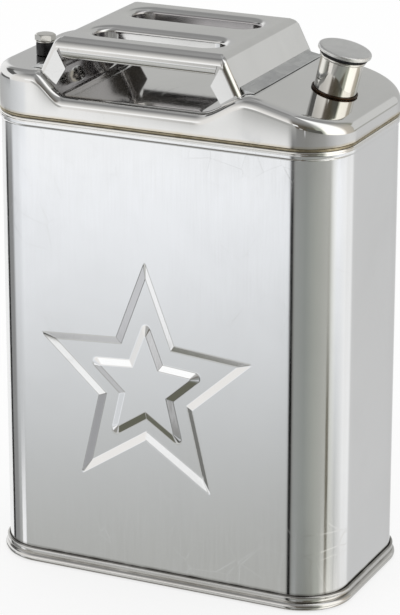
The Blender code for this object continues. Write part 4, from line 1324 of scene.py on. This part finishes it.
# %% Hang the cards
BACK_CARDS = [
    (-178.0, 26.0, -4.0, 46.0, 5.0, (0.51, 0.51, 0.50)),
    (-135.0, 30.0, 28.0, 57.0, 8.0, 0.30),
    (152.0, 9.0, -6.0, 19.0, 4.0, (0.66, 0.66, 0.65)),
]
EDGE_CARDS = [
    (-96.0, 21.0, -12.0, -3.0, 3.0, 0.13),
    (-96.0, 23.0, 24.0, 40.0, 3.0, 0.11),
    (-14.0, 11.0, -13.0, 8.0, 5.0, (0.42, 0.42, 0.41)),
    (40.0, 17.0, -11.0, 12.0, 4.0, (0.10, 0.10, 0.09)),
    (9.0, 3.5, -9.5, -4.5, 1.0, (0.68, 0.68, 0.69)),
    (16.2, 1.5, -13.0, -11.0, 0.6, (0.55, 0.55, 0.56)),
    (0.5, 6.0, 4.0, 16.8, 1.5, 0.95),
    (-25.0, 8.0, 9.0, 20.0, 3.0, 1.08),
]
FRONT_CARDS = [
    (-101.5, 5.0, -40.0, -15.4, 1.0, (0.02, 0.02, 0.02)),
    (76.0, 3.5, -40.0, -20.0, 2.0, (0.13, 0.12, 0.09)),
    (-27.0, 9.0, -80.0, -25.5, 2.0, (0.62, 0.62, 0.60)),
]
STAR_CARDS = [
    (-60.0, 6.3, -34.0, -22.0, 2.0, (0.95, 0.95, 0.96)),
    (-74.0, 7.3, -33.0, -24.5, 1.5, (0.18, 0.18, 0.17)),
    (3.0, 5.5, -36.0, -26.0, 2.0, (0.60, 0.60, 0.62)),
    (16.0, 6.5, -36.0, -26.5, 2.0, (0.36, 0.36, 0.37)),
    (-36.0, 6.0, -60.0, -45.0, 1.5, (0.57, 0.57, 0.58)),
    (-49.0, 7.0, -60.0, -46.0, 1.5, (0.17, 0.17, 0.14)),
    (-67.0, 8.0, -43.5, -37.0, 1.5, (0.54, 0.54, 0.55)),
    (-69.0, 12.0, -52.0, -43.7, 1.5, (0.14, 0.14, 0.11)),
    (-6.0, 17.0, -66.0, -46.0, 2.0, (0.13, 0.13, 0.10)),
]


def hang(tree, colour, compass, elevation, cards):
    """Mix cards over a colour, one after the other. A card's tone may be a socket."""
    for card in cards:
        inputs = dict(zip(CARD_INPUTS, card), Under=colour, Compass=compass, Elevation=elevation)
        colour = add_node(tree, "ShaderNodeGroup", inputs, node_tree=card_group).outputs["Color"]
    return colour


print("cards:", sum(map(len, (BACK_CARDS, EDGE_CARDS, FRONT_CARDS, STAR_CARDS))))

# %% [markdown]
# ### Tones of the tent
#
# Each table gives (degrees, tone) stops, where a tone is a grey or a colour. All run
# round the compass, but for `FALL`, which runs from straight down to the horizon.
# The lit part of the walls is multiplied by that fall, and the plain part is added.

# %% Tables of tones
UPPER = [
    (-180, 0.51), (-148, 0.51), (-140, 0.95), (-74, 0.92), (-64, (0.86, 0.84, 0.82)),
    (-12, (0.92, 0.90, 0.88)), (-2, (0.14, 0.12, 0.10)), (26, (0.09, 0.08, 0.06)),
    (44, (0.14, 0.13, 0.10)), (49, (0.38, 0.40, 0.34)), (60, (0.42, 0.44, 0.38)),
    (67, (1.38, 1.36, 1.27)), (110, (1.32, 1.28, 1.22)), (119, (0.60, 0.55, 0.48)),
    (140, (0.50, 0.47, 0.41)), (149, (0.28, 0.28, 0.22)), (160, 0.51),
]
LIT = [
    (-80, 0.0), (-73, 0.82), (-58, 0.86), (-46, 1.0), (-24, 1.0), (-18, 0.92), (-15, 0.0),
    (76, 0.0), (90, 0.75), (98, 1.0), (110, 0.55), (126, 0.0),
]
PLAIN = [
    (-180, 0.60), (-165, 0.90), (-103, 0.90), (-98, 0.25), (-80, 0.26), (-73, 0.0), (-10, 0.0),
    (-7, (0.24, 0.24, 0.23)), (-3, (0.30, 0.31, 0.30)), (20, (0.27, 0.285, 0.27)),
    (44, (0.36, 0.37, 0.34)), (70, (0.43, 0.43, 0.40)), (84, (0.40, 0.40, 0.36)),
    (98, 0.05), (124, 0.85), (146, 0.88), (155, 0.62), (160, 0.57),
]
SKIRT = [
    (-180, 0.50), (-120, 0.48), (-90, (0.55, 0.56, 0.57)), (-60, (0.70, 0.715, 0.735)),
    (-36, (0.84, 0.855, 0.88)), (-28, 1.0), (-20, 0.80), (-12, 0.26), (20, (0.26, 0.26, 0.25)),
    (60, (0.37, 0.37, 0.36)), (75, 0.50), (90, 0.62), (130, 0.76), (150, 0.72), (158, 0.62), (180, 0.50),
]
CEILING = [
    (-180, 0.45), (-150, 0.45), (-139, 0.34), (-79, 0.34), (-58, 0.22), (-40, 0.24), (-10, 0.34),
    (20, 0.31), (52, 0.34), (78, 1.2), (110, 1.2), (124, 0.50), (136, 0.28), (168, 0.30),
]
FALL = [
    (-90, (0.10, 0.075, 0.055)), (-66, (0.10, 0.075, 0.055)), (-50, (0.28, 0.27, 0.25)),
    (-30, (0.34, 0.335, 0.315)), (-24, (0.40, 0.40, 0.38)), (-21.5, (0.55, 0.56, 0.565)),
    (-18.5, (0.82, 0.835, 0.86)), (-16, (1.0, 1.015, 1.05)),
]
NECK_CARD = (78.0, 73.0, -60.0, -25.0, 1.5)
SKIRT_TOP = (-15.75, -15.35)
SKIRT_SWING = 0.5
SKIRT_HIGHEST = 30.0
HORIZON = (-12.5, -9.0)
CEILING_RISE = (20.0, 58.0)
WHITE = 1.0
print("stops round the compass:", sum(map(len, (UPPER, LIT, PLAIN, SKIRT, CEILING))))

# %% World
def make_world():
    """The tent's colour from compass and elevation, with plain white for the camera."""
    world = bpy.data.worlds.new("white_tent")
    world.use_nodes = True
    tree = world.node_tree
    tree.nodes.clear()
    way = add_node(tree, "ShaderNodeTexCoord").outputs["Generated"]
    split = add_node(tree, "ShaderNodeSeparateXYZ", {0: way}).outputs
    front = maths(tree, "MULTIPLY", split["Y"], -1.0)
    compass = maths(tree, "DEGREES", maths(tree, "ARCTAN2", split["X"], front))
    elevation = maths(tree, "DEGREES", maths(tree, "ARCSINE", split["Z"]))
    around = remap(tree, compass, -180.0, 180.0, 0.0, 1.0)
    upper, lit, plain, skirt, ceiling = (
        ramp(tree, around, [(0.5 + degrees / 360.0, tone) for degrees, tone in stops])
        for stops in (UPPER, LIT, PLAIN, SKIRT, CEILING))
    fall = ramp(tree, remap(tree, elevation, -90.0, 0.0, 0.0, 1.0),
                [(1 + degrees / 90.0, tone) for degrees, tone in FALL])
    walls = mix_colours(tree, 1.0, mix_colours(tree, 1.0, lit, fall, "MULTIPLY"), plain, "ADD")
    cards = [*FRONT_CARDS, (*NECK_CARD, upper), *STAR_CARDS]
    walls = hang(tree, walls, compass, elevation, cards)
    swing = maths(tree, "COSINE", maths(tree, "RADIANS", maths(tree, "SUBTRACT", compass, SKIRT_HIGHEST)))
    height = maths(tree, "ADD", elevation, maths(tree, "MULTIPLY", swing, SKIRT_SWING))
    low = mix_colours(tree, remap(tree, height, *SKIRT_TOP, 0.0, 1.0), walls, skirt)
    high = mix_colours(tree, remap(tree, elevation, *CEILING_RISE, 0.0, 1.0), upper, ceiling)
    high = hang(tree, high, compass, elevation, BACK_CARDS)
    mirrored = mix_colours(tree, remap(tree, elevation, *HORIZON, 0.0, 1.0), low, high)
    mirrored = hang(tree, mirrored, compass, elevation, EDGE_CARDS)
    light = add_node(tree, "ShaderNodeLightPath").outputs
    direct = maths(tree, "MAXIMUM", light["Is Camera Ray"], light["Is Transmission Ray"])
    seen = mix_colours(tree, light["Is Glossy Ray"], WHITE, mirrored)
    background = add_node(tree, "ShaderNodeBackground", Color=mix_colours(tree, direct, seen, WHITE))
    add_node(tree, "ShaderNodeOutputWorld", Surface=background.outputs[0])
    return world


bpy.context.scene.world = make_world()
print("nodes in the world:", len(bpy.context.scene.world.node_tree.nodes))

# %% Floor
FLOOR_HALF = 6.0
FLOOR_DROP = 0.0005
FLOOR_TONE = 0.97
FLOOR_GLOW = 0.75


def make_floor():
    """A wide pale sheet: white to the camera with the can's faint shadow, unseen by mirrors."""
    material, tree = new_material("paper_floor")
    tree.nodes.clear()
    diffuse = add_node(tree, "ShaderNodeBsdfDiffuse", Color=FLOOR_TONE)
    glow = add_node(tree, "ShaderNodeEmission", Color=WHITE)
    light = add_node(tree, "ShaderNodeLightPath").outputs
    share = maths(tree, "MULTIPLY", light["Is Camera Ray"], FLOOR_GLOW)
    mix = add_node(tree, "ShaderNodeMixShader", {0: share, 1: diffuse.outputs[0], 2: glow.outputs[0]})
    add_node(tree, "ShaderNodeOutputMaterial", Surface=mix.outputs[0])
    line = np.array([-FLOOR_HALF, FLOOR_HALF])
    points = np.stack(np.meshgrid(line, line, [-FLOOR_DROP]), axis=-1).reshape(2, 2, 3)
    mesh = make_mesh("floor", [(points, grid_quads(2, 2))], closed=False)
    mesh.materials.append(material)
    floor = link_object("floor", mesh)
    floor.visible_glossy = False


make_floor()
print(f"floor: {2 * FLOOR_HALF:.0f} m wide")

# %% [markdown]
# ## Camera
#
# The photograph looks down a little at the front and the right side, from far
# enough away that the upright edges nearly stay parallel, so the lens is long.

# %% Camera
CAMERA_PLACE = Vector((1.01008, -2.15432, 1.03575))
CAMERA_TARGET = Vector((0.000465, 0.0, 0.2184))
lens = bpy.data.cameras.new("camera")
lens.lens = 176.32
lens.sensor_fit = "AUTO"
lens.sensor_width = 36.0
lens.clip_start = 0.05
lens.clip_end = 50.0
camera = link_object("camera", lens)
camera.location = CAMERA_PLACE
camera.rotation_mode = "QUATERNION"
camera.rotation_quaternion = (CAMERA_TARGET - CAMERA_PLACE).to_track_quat("-Z", "Y")
bpy.context.scene.camera = camera
bpy.context.scene.view_settings.view_transform = "Standard"
print(f"camera: {(CAMERA_TARGET - CAMERA_PLACE).length:.2f} m away")

# %% Update the scene
bpy.context.view_layer.update()
